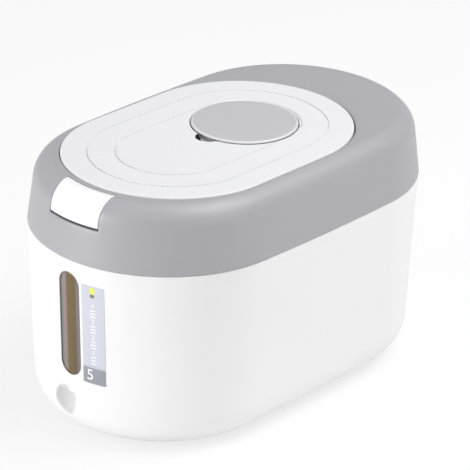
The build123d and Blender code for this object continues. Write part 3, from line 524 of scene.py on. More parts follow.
for count, (x, colour) in enumerate(PANE_TINT_AND_REFLECTION):
    stop = tint_and_reflection.color_ramp.elements[count] if count < 2 else tint_and_reflection.color_ramp.elements.new(1.0)
    stop.position, stop.color = (x + WINDOW_HALF) / (2 * WINDOW_HALF), colour
repainted(pane, 1.0, tint_and_reflection.outputs["Color"], "MULTIPLY")

# bin: painted shade in the finger scoop: its colour is painted greyer than the wall, most of all on its left half,
# which faces away from the key lamp
bin_with_scoop_shade = bpy.data.materials["bin_white"]
tree = bin_with_scoop_shade.node_tree
place = place_in(tree)
ball_middle = (SCOOP_X * MM, SCOOP_Y * MM, SCOOP_Z * MM)
apart = node_at(tree, "ShaderNodeVectorMath", {0: place, 1: ball_middle}, operation="DISTANCE")
sunk = falling(tree, apart.outputs["Value"], (SCOOP_BALL + 0.05) * MM, (SCOOP_BALL + 0.35) * MM)
left = falling(tree, axes_in(tree, place)[0], SCOOP_X + 1.0, SCOOP_X + 5.0)
stained(bin_with_scoop_shade, product(tree, sunk, left), 0.8, rgb(0.60, 0.60, 0.595), 0.2)


def placed(tree, middle_y):
    """Height above the floor and distance from an upright line at x = 0, y = middle_y, both in millimetres."""
    place = place_in(tree)
    flat = node_at(tree, "ShaderNodeVectorMath", {0: place, 1: (1.0, 1.0, 0.0), 2: (0.0, -middle_y * MM, 0.0)},
                   operation="MULTIPLY_ADD")
    far = node_at(tree, "ShaderNodeVectorMath", {0: flat.outputs[0]}, operation="LENGTH")
    return axes_in(tree, place)[2], product(tree, far.outputs["Value"], 1.0 / MM)


# cap: painted highlight: its bevelled rim is painted lighter than its top, where the chamfer catches the light
RIM_HIGHLIGHT_IN, RIM_HIGHLIGHT_FOOT = 34.8, 178.95
cap_with_rim_highlight = bpy.data.materials["cap_grey"]
tree = cap_with_rim_highlight.node_tree
height, far = placed(tree, CAP_Y)
rim = product(tree, ranged(tree, far, RIM_HIGHLIGHT_IN, RIM_HIGHLIGHT_IN + 0.3), ranged(tree, height, RIM_HIGHLIGHT_FOOT, RIM_HIGHLIGHT_FOOT + 0.1))
stained(cap_with_rim_highlight, rim, 0.7, rgb(0.76, 0.76, 0.78))

# lid: painted shade in the finger notch, which goes down through the panel into the liner: between two heights it is
# painted nearly black brown, where the recess lies in shade
NOTCH_SHADE_FOOT, NOTCH_SHADE_TOP, NOTCH_SHADE_SOFT = 172.3, 179.1, 0.6
for slot in ("lid_white", "frame_white"):
    notch_shaded = bpy.data.materials[slot]
    tree = notch_shaded.node_tree
    height, far = placed(tree, NOTCH_Y)
    deep = product(tree, falling(tree, far, NOTCH_RIM - 0.1, NOTCH_RIM),
                   falling(tree, height, NOTCH_SHADE_TOP - NOTCH_SHADE_SOFT, NOTCH_SHADE_TOP),
                   ranged(tree, height, NOTCH_SHADE_FOOT, NOTCH_SHADE_FOOT + NOTCH_SHADE_SOFT))
    stained(notch_shaded, deep, 0.985, rgb(0.012, 0.009, 0.004), 0.04)

# printed scale: lavender grey, a dark foot with a thin rule over it, a yellow-green tab over a dark one, and ticks that
# leave room for the numerals
FOOT_GREY, TAB_GREEN, TAB_DARK, TICK_WHITE = (
    rgb(0.30, 0.31, 0.345), rgb(0.80, 0.84, 0.10), rgb(0.20, 0.20, 0.15), rgb(0.93, 0.93, 0.93))
BLOCKS = (       # left, right, lowest, highest, colour, strength
    (11.4, 28.2, 47.3, 59.2, FOOT_GREY, 1.0), (12.0, 27.6, 60.2, 60.5, FOOT_GREY, 0.6),
    (17.9, 21.5, 113.8, 118.2, TAB_GREEN, 1.0), (18.1, 21.3, 111.0, 113.4, TAB_DARK, 1.0))
TICKS = (17.8, 21.8, 61.5, 107.5)
TICK_PITCH, TICK_SHARE, NUMERAL_PITCH, NUMERAL_CLEAR = 2.3, 0.36, 11.5, (0.28, 0.99)
label = finish("label_print", moulded, moulding(rgb(0.62, 0.635, 0.72), 0.05, 2500.0, 0.5, 0.1),
               (0.06, PRINT_DEPTH), {})
tree = label.node_tree
across, _, height = axes_in(tree, place_in(tree))


def area_mask(tree, across, height, left, right, low, high):
    """1 on a rectangle of the strip."""
    return product(tree, within(tree, across, left, right), within(tree, height, low, high))


for *area, colour, strength in BLOCKS:
    repainted(label, product(tree, area_mask(tree, across, height, *area), strength), colour)
tick = worked(tree, "FRACT", worked(tree, "DIVIDE", height, TICK_PITCH))
numeral_step = worked(tree, "FRACT", worked(tree, "DIVIDE", height, NUMERAL_PITCH))
ticks = product(tree, falling(tree, tick, TICK_SHARE, TICK_SHARE + 0.02), area_mask(tree, across, height, *TICKS),
                within(tree, numeral_step, *NUMERAL_CLEAR, 0.01), 0.9)
repainted(label, ticks, TICK_WHITE)
finish("print_white", moulded, moulding(TICK_WHITE, 0.02, 2500.0, 0.5, 0.1), (0.05, PRINT_DEPTH), {})

for row in frame["record"]["subparts"]:
    node = NODES[row["node"]]
    node.data.materials.clear()
    node.data.materials.append(bpy.data.materials[row["material_slot"]])

# ---- sky: plain white behind the object, and a dimmer one that lights it ----
world = bpy.data.worlds.new("world")
bpy.context.scene.world = world
world.use_nodes = True
tree = world.node_tree
tree.nodes.clear()
skies = [node_at(tree, "ShaderNodeBackground", {"Color": rgb(1.0, 1.0, 1.0), "Strength": strength}).outputs[0]
         for strength in (SKY_STRENGTH, BACKDROP_STRENGTH)]
rays = node_at(tree, "ShaderNodeLightPath").outputs
seen = worked(tree, "MAXIMUM", rays["Is Camera Ray"], rays["Is Transmission Ray"])
mixed = node_at(tree, "ShaderNodeMixShader", {0: seen, 1: skies[0], 2: skies[1]})
node_at(tree, "ShaderNodeOutputWorld", {"Surface": mixed.outputs[0]})
bpy.context.scene.view_settings.view_transform = "Standard"

# ---- bin ----
# The columns bunch in front, where two patches of wall hold the scoop and the window; elsewhere they run evenly round.
PATCH_HALF, PATCH_LOW, PATCH_MIDDLE, PATCH_HIGH = 22.0, 11.0, 41.0, 129.0
EDGE_STEPS = (0.014, 0.04, 0.09, 0.17, 0.28, 0.42, 0.58, 0.78, 1.0)
SCOOP_CELLS, WINDOW_CELLS = 10, 20       # from a feature's middle to its edge, along the wall's height
EDGE_SINK, EDGE_SOFT = 0.25, 0.04        # depth of a feature's rounded edge, and its reach as a share of the patch
FLOOR_ROWS, FOOT_ROWS = 6, 13
FRONT_COLUMNS, SIDE_COLUMNS, BIN_REAR_COLUMNS, COLLAR_REAR_COLUMNS = 29, 40, 50, 64


def turns_behind(turn, rear):
    """Turns of the columns in front, one line for each row, carried on round the right side, the rear and the left."""
    edge, join = turn[:, -1:], JOIN_TURN - JOIN_GAP
    side = np.linspace(join + 2 * JOIN_GAP, math.pi - join - 2 * JOIN_GAP, SIDE_COLUMNS)
    behind = np.r_[side, np.linspace(math.pi - join, math.pi, rear)]
    right = np.hstack([edge + (join - edge) * np.linspace(0, 1, FRONT_COLUMNS + 1)[1:],
                       np.repeat(behind[None], len(turn), 0)])
    return np.hstack([turn, right, -right[:, :-1][:, ::-1]])


def window_rim(a, b):
    """Edge of the hole that the window's seal fills."""
    return slot_rim(a, b, WINDOW_HALF + GASKET_RIM, WINDOW_FOOT - GASKET_RIM, WINDOW_TOP + GASKET_RIM)


def ring_patch(levels, rim, middle, low, high):
    """(x, z) of a patch of wall round a feature: inside the half-size square the feature's edge shrinks to its middle,
    outside it the edge opens out to the patch's own rectangle. Also how far out each point is, from 0 at the edge."""
    a, b = np.meshgrid(square_levels(SCOOP_CELLS), levels)
    size = np.maximum(np.maximum(np.abs(a), np.abs(b)), 1e-9)
    edge_x, edge_z = rim(a / size, b / size)
    out = np.clip((size - 0.5) * 2, 0.0, 1.0)
    inner = np.minimum(size * 2, 1.0)
    rect_x = PATCH_HALF * a / size
    rect_z = (low + high) / 2 + (high - low) / 2 * b / size
    x = np.where(size <= 0.5, middle[0] + (edge_x - middle[0]) * inner, edge_x + (rect_x - edge_x) * out)
    z = np.where(size <= 0.5, middle[1] + (edge_z - middle[1]) * inner, edge_z + (rect_z - edge_z) * out)
    return x, z, np.where(size < 0.5 - 1e-9, -1.0, out)


def front_patch():
    """Both patches, one on top of the other: x and z of their points, which points lie on the scoop's ball, which cells
    are wall, and how much each point belongs to a feature's rounded edge."""
    x, z, out = ring_patch(square_levels(SCOOP_CELLS), scoop_rim, (SCOOP_X, SCOOP_Z), PATCH_LOW, PATCH_MIDDLE)
    window_x, window_z, window_out = ring_patch(
        square_levels(WINDOW_CELLS), window_rim, (0.0, WINDOW_MIDDLE), PATCH_MIDDLE, PATCH_HIGH)
    steps = len(EDGE_STEPS)
    top = steps + 2 * SCOOP_CELLS            # the scoop's flat edge, which is there twice: on the ball and on the wall
    twice = np.insert(np.arange(len(x)), top, top)
    x, z, out = x[twice], z[twice], out[twice]
    count = len(twice)
    on_ball = np.zeros((count + len(window_x) - 1, x.shape[1]), bool)
    on_ball[:top + 1] = out[:top + 1] <= 0
    cells = np.ones((on_ball.shape[0] - 1, x.shape[1] - 1), bool)
    hole = count - 1 + steps
    cells[hole:hole + 2 * WINDOW_CELLS, steps:steps + 2 * SCOOP_CELLS] = False
    edge = np.zeros(on_ball.shape)
    edge[:count] = np.clip(1 - out / EDGE_SOFT, 0, 1) * (out >= 0)
    window_edge = np.clip(1 - window_out / EDGE_SOFT, 0, 1) ** 2 * (window_out >= 0)
    edge[count - 1:] = np.maximum(edge[count - 1:], window_edge)
    return np.vstack([x, window_x[1:]]), np.vstack([z, window_z[1:]]), on_ball, cells, edge


def foot_rows(depth):
    """Height and inset of the rows from the middle of the floor, which all stand at the floor's edge until they are
    drawn in, and up the round foot to the patches' lower edge."""
    radius = SHELL_ROUND - depth
    arc = np.linspace(-math.pi / 2, math.asin((PATCH_LOW - FLOOR_Z) / SHELL_ROUND), FOOT_ROWS + 1)[:-1]
    z = np.r_[np.full(FLOOR_ROWS, SHELL_FLOOR + depth), FLOOR_Z + radius * np.sin(arc)]
    return z, np.r_[np.full(FLOOR_ROWS, FLOOR_IN), FLOOR_IN - radius * np.cos(arc)]


def neck_rows(depth):
    """Height and inset of the rows from the patches' upper edge over the shoulder to the neck and its bead. The inside
    has no bead."""
    z, inset = np.array([
        (131.2, 0.0), (132.4, 0.0), (SHOULDER - 0.25, SHELL_STEP + 0.02), (SHOULDER, SHELL_STEP + 0.3), (SHOULDER, 1.6),
        (SHOULDER, NECK_IN), (BEAD_FOOT, NECK_IN), (BEAD_FOOT + 0.1, BEAD_IN), (BEAD_TOP - 0.1, BEAD_IN),
        (BEAD_TOP, NECK_IN), (NECK_TOP - 0.3, NECK_IN), (NECK_TOP, NECK_IN + 0.25)]).T
    neck = z > SHOULDER
    z = np.where(neck, z, np.minimum(z, SHOULDER - depth))
    inset = np.maximum(inset, shell_inset(z)) + depth
    return z, np.where(neck, NECK_IN + depth, inset) if depth else inset


def bin_side(depth, patch_x, patch_z, on_ball):
    """The bin's wall at a depth inside its outer face, as rows x columns x 3 points: rows run from the middle of the
    floor up the outside and over to the neck, and columns from the front patch round by the right side."""
    low_z, low_in = foot_rows(depth)
    high_z, high_in = neck_rows(depth)
    patch_turn = np.arcsin(patch_x / (END_RADIUS - shell_inset(np.maximum(patch_z, PATCH_LOW))))
    high_turn = np.arcsin(patch_x[-1:] / (END_RADIUS - shell_inset(high_z)[:, None]))
    turn = np.vstack([np.repeat(patch_turn[:1], len(low_z), 0), patch_turn, high_turn])
    turn = turns_behind(turn, BIN_REAR_COLUMNS)
    z = np.repeat(np.r_[low_z, patch_z[:, -1], high_z][:, None], turn.shape[1], 1)
    z[len(low_z):-len(high_z), :patch_x.shape[1]] = patch_z
    inset = shell_inset(z, depth)
    inset[:len(low_z)] = low_in[:, None]
    inset[-len(high_z):] = high_in[:, None]
    x, y = plan(turn, inset)
    # the floor's rows shrink onto the straight line between the middles of the two ends
    shrink = np.ones((len(turn), 1))
    shrink[:FLOOR_ROWS, 0] = np.arange(FLOOR_ROWS) / FLOOR_ROWS
    points = grid(x * shrink, np.clip(y, -END_REACH, END_REACH) * (1 - shrink) + y * shrink, z)
    patch = points[len(low_z):-len(high_z), :patch_x.shape[1]]
    ball = scoop_ball(patch[..., 0], patch[..., 2], depth)
    if depth:
        on_ball = (patch[..., 2] < PATCH_MIDDLE) & (patch[..., 2] > PATCH_LOW)
    patch[..., 1] = np.where(on_ball, np.maximum(patch[..., 1], ball), patch[..., 1])
    return points


patch_x, patch_z, on_ball, cells, edge = front_patch()
outer, inner = (bin_side(depth, patch_x, patch_z, on_ball) for depth in (0.0, WALL))
first = FLOOR_ROWS + FOOT_ROWS
keep = all_cells(outer, True)
keep[first:first + cells.shape[0], :cells.shape[1]] = cells
patch = outer[first:first + edge.shape[0], :edge.shape[1]]
patch += (inner[first:first + edge.shape[0], :edge.shape[1]] - patch) * (edge * EDGE_SINK / WALL)[..., None]
piece("bin_wall", *sheet_faces(outer, inner, keep, True, True), "bin", "bin_white", ("body_shell",))


# ---- collar and button ----
SINK_REACH, SINK = 0.5, 0.35
FIXED_HALF = 60.0         # in front of this half width the collar's columns keep their x
FIXED_TURN = math.asin(FIXED_HALF / END_RADIUS)
EVEN_FROM, EVEN_OVER = 0.27, 0.15      # turn at which the deck's rows start to spread evenly, and over which they do


def spread(low, high, step):
    """Evenly spaced values from low up to, but without, high."""
    return np.linspace(low, high, max(2, int(round((high - low) / step)) + 1))[:-1]


def mirrored(half):
    """Half a row of values, from 0, with its mirror image before it."""
    return np.r_[-half[:0:-1], half]


def softened(outer, inner, far, wall):
    """Sinks a sheet's outer side a little towards its inner side, where it is near an edge."""
    sink = SINK * np.clip(1 - np.clip(far, 0.0, None) / SINK_REACH, 0.0, 1.0) ** 2
    return outer + (inner - outer) * (sink / wall)[..., None]


def opening(turn, offset, x):
    """Point of the lid opening's edge drawn out by offset: half circles at its ends and straight sides, matched to the
    outline by the direction it faces at the ends and by length along the sides. Where x is a number, in front, it is
    at x."""
    radius = OPENING_HALF_WIDTH + offset
    across = np.abs(turn)
    front, rear = across <= JOIN_TURN, across >= math.pi - JOIN_TURN
    reach = math.asin(FIXED_HALF / radius)
    lean = np.where(front, reach + (across - FIXED_TURN) * (math.pi / 2 - reach) / (JOIN_TURN - FIXED_TURN),
                    (math.pi - across) * (math.pi / 2) / JOIN_TURN)
    along = (across - JOIN_TURN) / (math.pi - 2 * JOIN_TURN) * 2 - 1
    px = np.sign(turn) * np.where(front | rear, radius * np.sin(lean), radius)
    py = OPENING_Y + np.where(front, -OPENING_REACH - radius * np.cos(lean),
                              np.where(rear, OPENING_REACH + radius * np.cos(lean), OPENING_REACH * along))
    held = np.isfinite(x)
    at = np.where(held, x, 0.0)
    return (np.where(held, at, px),
            np.where(held, OPENING_Y - OPENING_REACH - np.sqrt(radius ** 2 - at ** 2), py))


def collar_columns():
    """Columns round the collar: their turn, and in front their fixed x, bunched at the sides of the button's slot."""
    near = SLOT_HALF + np.array([0.0, 0.1, 0.25, 0.5])
    front = mirrored(np.r_[spread(0.0, SLOT_HALF, 2.2), near, np.linspace(24.0, FIXED_HALF, 17)])
    turn, = turns_behind(np.arcsin(front / END_RADIUS)[None], COLLAR_REAR_COLUMNS)
    return turn, np.r_[front, np.full(len(turn) - len(front), np.nan)]


def leaning(heights):
    """(inset, z) on the collar's leaning wall at each height."""
    return [((z - COLLAR_LINE) * math.tan(COLLAR_DRAFT), z) for z in heights]


def collar_sheet(turn, x, depth, wall, strips, edge):
    """Rows from the collar's foot up its leaning wall, over the round, across the deck to the opening, at depth.
    In front, a column keeps its x on every row and the deck's rows keep their distance from the opening."""
    held = np.isfinite(x)
    at = np.where(held, x, 0.0)

    def outline_row(inset, z):
        """Row drawn in by inset at height z; the turns behind the fixed columns start where these end."""
        reach = math.asin(FIXED_HALF / (END_RADIUS - inset))
        past = (np.abs(turn) - FIXED_TURN) / (JOIN_TURN - FIXED_TURN)
        squeezed = np.where(np.abs(turn) < JOIN_TURN, np.sign(turn) * (reach + past * (JOIN_TURN - reach)), turn)
        facing = np.where(held, np.arcsin(at / (END_RADIUS - inset)), squeezed)
        return grid(*plan(facing, inset), z)

    rows = [outline_row(inset + depth / math.cos(COLLAR_DRAFT), z) for inset, z in wall]
    radius = COLLAR_ROUND - depth
    stop = math.asin(((DECK_UNDER if depth else DECK) - ROUND_Z) / radius)
    for share in ROUND_SHARES:
        lean = COLLAR_DRAFT + (stop - COLLAR_DRAFT) * share
        rows.append(outline_row(float(ROUND_IN - radius * np.cos(lean)), float(ROUND_Z + radius * np.sin(lean))))
    border = rows[-1]
    side = np.clip((np.abs(turn) - EVEN_FROM) / EVEN_OVER, 0.0, 1.0)[:, None]
    lip = grid(*opening(turn, edge[0][0], x), border[:, 2])
    for count, strip in enumerate(strips, 1):
        share = count / (len(strips) + 1)
        even = border * (1 - share) + lip * share
        rows.append(grid(*opening(turn, strip, x), border[:, 2]) * (1 - side) + even * side)
    return np.array(rows + [grid(*opening(turn, offset, x), z) for offset, z in edge])


COLLAR_HEIGHTS = np.r_[133.9, np.linspace(135.5, 155.5, 10), SLOT_FOOT - np.array([0.5, 0.25, 0.1, 0.0]),
                       159.0, 160.6, 162.3]
COLLAR_WALL = [(0.3, COLLAR_LINE), (0.05, COLLAR_LINE + 0.12)] + leaning(COLLAR_HEIGHTS)
COLLAR_LIP = ((0.5, DECK), (0.2, DECK - 0.08), (0.03, DECK - 0.3), (0.0, DECK - 0.6))
COLLAR_LIP_UNDER = ((0.5, DECK_UNDER), (0.3, DECK_UNDER), (0.15, DECK_UNDER), (0.0, DECK_UNDER))
ROUND_SHARES = np.linspace(0.0, 1.0, 26)
STRIPS = (5.6, 4.4, SLOT_STRIP, 3.1, 2.95, 2.7, 1.9, 1.1)
turn, fixed = collar_columns()
outer = collar_sheet(turn, fixed, 0.0, COLLAR_WALL, STRIPS, COLLAR_LIP)
inner = collar_sheet(turn, fixed, WALL, COLLAR_WALL, STRIPS, COLLAR_LIP_UNDER)
foot_row = len(COLLAR_WALL) - 4          # the slot's lower edge, and the row on the deck where it ends
strip_row = len(COLLAR_WALL) + len(ROUND_SHARES) + STRIPS.index(SLOT_STRIP)
in_slot = np.abs(fixed) <= SLOT_HALF + 1e-6
keep = all_cells(outer, True)
keep[foot_row:strip_row, :-1] = ~(in_slot[:-1] & in_slot[1:])
row_far = np.full(len(outer), -1.0)      # distance from the slot's ends, below 0 beside it
row_far[:foot_row + 1] = SLOT_FOOT - np.array([z for _, z in COLLAR_WALL[:foot_row + 1]])
row_far[strip_row:] = 3.0
row_far[strip_row:strip_row + 6] = SLOT_STRIP - np.array(STRIPS[2:])
column_far = np.where(np.isfinite(fixed), np.abs(fixed) - SLOT_HALF, 9.0)
outer = softened(outer, inner, np.maximum(row_far[:, None], column_far[None]), WALL)
piece("collar_cover", *sheet_faces(outer, inner, keep, True), "bin", "collar_grey", ("collar",))

near = BUTTON_HALF - np.array([0.0, 0.1, 0.25, 0.5])
x = mirrored(np.r_[spread(0.0, near[-1], 1.8), near[::-1]])
turn = np.arcsin(x / END_RADIUS)
heights = BUTTON_FOOT + np.array([0.0, 0.1, 0.25, 0.5, 1.5, 2.8])
strips = (6.4, 5.6, 4.8, 4.2, 3.95, 3.8)
outer = collar_sheet(turn, x, 0.0, leaning(heights), strips, ((BUTTON_STRIP, DECK),))
inner = collar_sheet(turn, x, BUTTON_SKIN, leaning(heights), strips, ((BUTTON_STRIP, DECK_UNDER),))
row_far = np.full(len(outer), 9.0)
row_far[:len(heights)] = heights - BUTTON_FOOT
row_far[-len(strips) - 1:] = np.array(strips + (BUTTON_STRIP,)) - BUTTON_STRIP
outer = softened(outer, inner, np.minimum(row_far[:, None], (BUTTON_HALF - np.abs(x))[None]), BUTTON_SKIN)
piece("button_skin", *sheet_faces(outer, inner, all_cells(outer)), "button", "button_white", ("press_button",))


# ---- window, its seal and the printed scale ----
PANE_GAP, PANE_SUNK, PANE_EDGE, PANE_EDGE_REACH, PANE_BACK = 0.1, 0.35, 0.3, 0.8, 2.2
a, b = np.meshgrid(np.linspace(-1.0, 1.0, 25), np.linspace(-1.0, 1.0, 37))
size = np.maximum(np.maximum(np.abs(a), np.abs(b)), 1e-9)
rim_x, rim_z = slot_rim(a / size, b / size, WINDOW_HALF - PANE_GAP, WINDOW_FOOT + PANE_GAP, WINDOW_TOP - PANE_GAP)
x, z = rim_x * size, WINDOW_MIDDLE + (rim_z - WINDOW_MIDDLE) * size
near_edge = np.clip(1 - (1 - size) * WINDOW_HALF / PANE_EDGE_REACH, 0, 1)
outer = grid(x, front_wall(x, z) + PANE_SUNK + PANE_EDGE * near_edge ** 2, z)
inner = grid(x, front_wall(x, z, PANE_BACK), z)
piece("window_strip", *sheet_faces(outer, inner, all_cells(outer)), "bin", "smoked_pane", ("window_pane",))

# seal: a section between a circle and a square, carried along the slot's edge
SEAL_HALF, SEAL_HALF_DEEP, SEAL_DOWN, SEAL_POWER = 0.44, 1.11, 1.13, 0.55
run, one = np.linspace(-1, 1, 41)[:-1], np.ones(40)
square_a, square_b = np.hstack([[run, -one], [one, run], [-run, one], [-one, -run]])
corner = np.linspace(0, 2 * np.pi, 17)[:-1, None]
out = GASKET_RIM / 2 + np.sign(np.cos(corner)) * np.abs(np.cos(corner)) ** SEAL_POWER * SEAL_HALF
deep = np.sign(np.sin(corner)) * np.abs(np.sin(corner)) ** SEAL_POWER * SEAL_HALF_DEEP
x, z = slot_rim(square_a, square_b, WINDOW_HALF + out, WINDOW_FOOT - out, WINDOW_TOP + out)
seal = ring_faces(grid(x, front_wall(x, z) + SEAL_DOWN + deep, z), True)
piece("window_seal", *seal, "bin", "seal_grey", ("window_gasket",))

# scale: a strip bent to the wall, with rounded corners
round_end = np.linspace(0, LABEL_CORNER, 8)
straight = np.linspace(LABEL_CORNER, 2 * LABEL_TALL - LABEL_CORNER, 40)[1:-1]
rise = np.r_[round_end, straight, 2 * LABEL_TALL - round_end[::-1]]
from_end = np.minimum(np.minimum(rise, 2 * LABEL_TALL - rise), LABEL_CORNER)
half = LABEL_HALF - LABEL_CORNER + np.sqrt(np.maximum(LABEL_CORNER ** 2 - (LABEL_CORNER - from_end) ** 2, 0))
x, z = LABEL_X + half[:, None] * np.linspace(-1, 1, 17), (LABEL_Z - LABEL_TALL + rise)[:, None]
outer, inner = (grid(x, front_wall(x, z) + depth, z) for depth in (-LABEL_THICK, 0.05))
piece("scale_strip", *sheet_faces(outer, inner, all_cells(outer)), "bin", "label_print", ("scale_label",))

PRINT_LIFT, PRINT_THICK, NUMERAL_FOOT, NUMERAL_TALL = 0.04, 0.06, 58.9, 4.6


def numeral(text, x, z, height):
    """Plain numeral cut as thin raised print that follows the front wall."""
    name = "scale_numeral_" + text
    curve = bpy.data.curves.new(name, "FONT")
    curve.body, curve.size, curve.align_x, curve.align_y = text, height * MM, "CENTER", "CENTER"
    letters = added("letters", curve)
    mesh = bpy.data.meshes.new_from_object(letters.evaluated_get(bpy.context.evaluated_depsgraph_get()))
    bpy.data.objects.remove(letters)
    flat = np.zeros(len(mesh.vertices) * 3)
    mesh.vertices.foreach_get("co", flat)
    flat = flat.reshape(-1, 3) / MM
    px, pz = x + flat[:, 0], z + flat[:, 1]
    points = grid(px, front_wall(px, pz) - LABEL_THICK - PRINT_LIFT, pz) * MM
    mesh.vertices.foreach_set("co", points.ravel())
    mesh.materials.append(bpy.data.materials["print_white"])
    thing = added(name, mesh)
    thing.modifiers.new("print", "SOLIDIFY").thickness = PRINT_THICK * MM
    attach(thing, "bin")


numeral("5", 16.8, 53.4, 11.0)        # in the dark foot
for count in range(1, 5):
    numeral(str(count), LABEL_X, NUMERAL_FOOT + NUMERAL_PITCH * count, NUMERAL_TALL)

# ---- cap: a section of (radius, z) turned round its middle ----
CAP_TURNS = 160
CAP_SECTION = np.array([
    (0.0, 179.9), (20.0, 179.92), (34.0, 179.95), (34.7, 179.93), (35.05, 179.84), (36.0, 179.22), (36.35, 178.95),
    (CAP_EDGE, 178.6), (36.4, 178.4), (36.1, 178.3), (33.4, 178.2), (33.2, 177.1), (32.2, 177.1), (32.0, 176.9),
    (32.0, 169.4), (31.7, 169.1), (30.7, 169.1), (30.4, 169.4), (30.4, 176.9), (30.2, 177.1), (0.0, 177.1)])
around = np.linspace(0, 2 * np.pi, CAP_TURNS + 1)[:-1]
radius = CAP_SECTION[:, :1]
disc = grid(radius * np.cos(around), CAP_Y + radius * np.sin(around), CAP_SECTION[:, 1:])
piece("cap_top", *ring_faces(disc), "cap", "cap_grey", ("cap_disc",), crease=24.0)

# ---- lid panel: rays from the cap's middle out to the panel's edge ----
# height of the panel's top against the distance in from its edge: a round edge, then two lines, each a groove and a
# ridge; and against the distance from the cap's middle, round the cap's hole
LID_TOP = np.array([
    (0.0, 177.9), (0.1, 178.45), (0.35, 178.8), (0.8, 178.97), (1.3, 179.0),
    (16.8, 179.0), (17.0, 178.1), (17.9, 178.1), (18.2, 179.1), (18.6, 179.2), (19.4, 179.1),
    (35.5, 179.1), (35.7, 178.2), (36.6, 178.2), (36.9, 179.2), (37.3, 179.3), (38.1, 179.2), (75.0, 179.2)])
HOLE_TOP = np.array([(37.3, 178.3), (37.5, 178.5), (38.7, 178.55), (38.95, 178.7), (39.25, 179.2), (40.0, 180.0)])
HOLE_ROWS, HOLE_OUT, NOTCH_ROWS, NOTCH_CLEAR = (37.3, 37.5, 37.8, 38.1, 38.4, 38.7, 38.95, 39.25), 39.3, 12, 0.25
LID_ROWS = {38.1: 8, 19.4: 6, 1.3: 5}        # cells up to these insets; every other bend of the section has one


def lid_inset(x, y):
    """Distance in from the lid panel's outline, two half circles joined by straight lines."""
    return LID_HALF - np.hypot(x, np.maximum(np.abs(y - LID_Y) - LID_REACH, 0.0))


ahead = np.linspace(1.5 - 0.09, 1.5 + 0.09, 61) * np.pi        # more rays across the finger notch
turn = np.unique(np.r_[np.linspace(0, 2 * np.pi, 321)[:-1], ahead].round(6))
# where each ray leaves the finger notch, a circle ahead of the cap
along, aside = (NOTCH_Y - CAP_Y) * np.sin(turn), (NOTCH_Y - CAP_Y) * np.cos(turn)
chord = np.sqrt(np.maximum(NOTCH_RIM ** 2 - aside ** 2, 0))
leaves = np.maximum(np.where(np.abs(aside) < NOTCH_RIM, along + chord, 0.0), HOLE_OUT)
rows = [np.full_like(turn, r) for r in HOLE_ROWS + (HOLE_OUT,)]
rows += [HOLE_OUT + (leaves - HOLE_OUT) * t for t in np.linspace(0, 1, NOTCH_ROWS + 1)[1:]]
last = leaves + NOTCH_CLEAR
rows.append(last)
for inset in LID_TOP[-2::-1, 0]:
    reach = farthest(lambda r: lid_inset(r * np.cos(turn), CAP_Y + r * np.sin(turn)) > inset, 0.0, 160.0)
    reach = np.maximum(reach, last)
    rows += [last + (reach - last) * t for t in np.linspace(0, 1, LID_ROWS.get(inset, 1) + 1)[1:]]
    last = reach
reach = np.array(rows)
x, y = reach * np.cos(turn), CAP_Y + reach * np.sin(turn)
z = np.minimum(np.interp(lid_inset(x, y), *LID_TOP.T), np.interp(reach, *HOLE_TOP.T, right=999.0))
from_notch = np.hypot(x, y - NOTCH_Y)
ball = NOTCH_Z - np.sqrt(np.maximum(NOTCH_BALL ** 2 - from_notch ** 2, 0.0))
z = np.where(from_notch < NOTCH_RIM, np.minimum(z, ball), z)
outer, inner = grid(x, y, z), grid(x, y, np.minimum(LID_UNDER, z - 0.5))
piece("lid_top", *sheet_faces(outer, inner, all_cells(outer, True), True), "lid", "lid_white", ("lid_panel",),
      crease=40.0, merge=2e-6)

# ---- button's arms, bosses and catch bar, inside the skin ----
ARM_FROM, ARM_TO = 10.6, 13.6
PIVOT_Y, PIVOT_Z, BOSS = -134.0, 171.0, 2.5
CATCH = np.array([(-123.4, 157.4, 160.4), (-120.4, 157.4, 160.4)])        # (y, lowest z, highest z)
ARM = np.array([
    (-145.3, 161.5, 171.0), (-144.6, 161.5, 175.2), (-143.5, 161.3, 176.0), (-142.0, 161.0, 177.0),
    (-140.0, 160.6, 178.0), (-138.0, 160.2, 178.6), (-136.0, 159.9, 178.6), (-135.99, 159.9, 171.0),
    (-132.0, 159.1, 171.0), (-131.99, 159.1, 167.0), (-123.4, 157.4, 162.1), (-120.4, 157.4, 160.4)])
skin_y = -END_REACH - math.sqrt((END_RADIUS - ROUND_IN) ** 2 - ARM_TO ** 2)
ahead = np.minimum(ARM[:, 0] - skin_y, 0)
under_skin = ROUND_Z + np.sqrt(np.maximum((COLLAR_ROUND - BUTTON_SKIN + 0.2) ** 2 - ahead ** 2, 0))
ARM[:, 2] = np.minimum(ARM[:, 2], under_skin)


def bar(name, stations, x_from, x_to):
    """Bar along Y through stations (y, lowest z, highest z) between two x."""
    y, low, high = stations.T
    corners = [(x_from, low), (x_to, low), (x_to, high), (x_from, high)]
    points, faces = ring_faces(np.stack([grid(x, y, z) for x, z in corners], 1))
    end = len(points) - 4 + np.arange(4)
    piece(name, points, np.vstack([faces, [3, 2, 1, 0], end]), "button", "button_white")


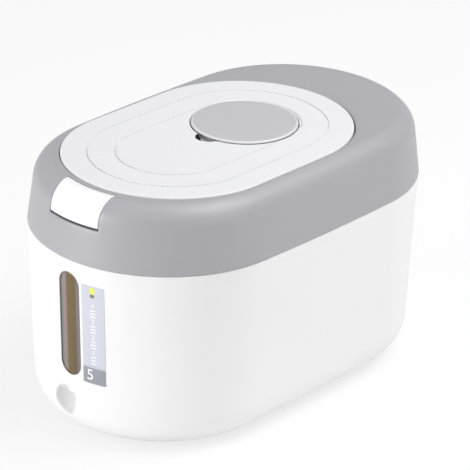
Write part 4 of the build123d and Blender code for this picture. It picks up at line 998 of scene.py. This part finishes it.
turns = np.linspace(0, 2 * np.pi, 33)[:-1]
for side, name in ((-1, "left"), (1, "right")):
    bar("button_arm_" + name, ARM, side * ARM_FROM, side * ARM_TO)
    boss = [grid(side * x, PIVOT_Y + r * np.cos(turns), PIVOT_Z + r * np.sin(turns))
            for x, r in ((ARM_FROM, 0.0), (ARM_FROM, BOSS), (ARM_TO, BOSS), (ARM_TO, 0.0))]
    piece("button_boss_" + name, *ring_faces(np.array(boss)), "button", "button_white")
bar("button_catch", CATCH, -ARM_FROM - 0.2, ARM_FROM + 0.2)

# ---- floor: pale, glowing a little for the camera, and clear from below ----
FLOOR_HALF, FLOOR_DROP, FLOOR_GLOW = 6.0, -0.00012, 0.72
floor_mesh = bpy.data.meshes.new("floor")
floor_mesh.from_pydata([(x * FLOOR_HALF, y * FLOOR_HALF, FLOOR_DROP) for x, y in ((-1, -1), (1, -1), (1, 1), (-1, 1))],
                       [], [(0, 1, 2, 3)])
floor = added("floor", floor_mesh)
pale = bpy.data.materials.new("floor_pale")
pale.use_nodes = True
tree = pale.node_tree
shader = tree.nodes["Principled BSDF"]
feed(tree, shader, {"Base Color": rgb(0.9, 0.9, 0.9), "Roughness": 0.9, "Specular IOR Level": 0.1})
glow = node_at(tree, "ShaderNodeEmission", {"Color": rgb(1.0, 1.0, 1.0), "Strength": 1.0})
rays = node_at(tree, "ShaderNodeLightPath").outputs
seen = worked(tree, "MAXIMUM", rays["Is Glossy Ray"], rays["Is Transmission Ray"])
seen = product(tree, worked(tree, "MAXIMUM", rays["Is Camera Ray"], seen), FLOOR_GLOW)
lit = node_at(tree, "ShaderNodeMixShader", {0: seen, 1: shader.outputs[0], 2: glow.outputs[0]})
back = node_at(tree, "ShaderNodeNewGeometry").outputs["Backfacing"]
clear = node_at(tree, "ShaderNodeBsdfTransparent")
mixed = node_at(tree, "ShaderNodeMixShader", {0: back, 1: lit.outputs[0], 2: clear.outputs[0]})
feed(tree, tree.nodes["Material Output"], {"Surface": mixed.outputs[0]})
floor_mesh.materials.append(pale)
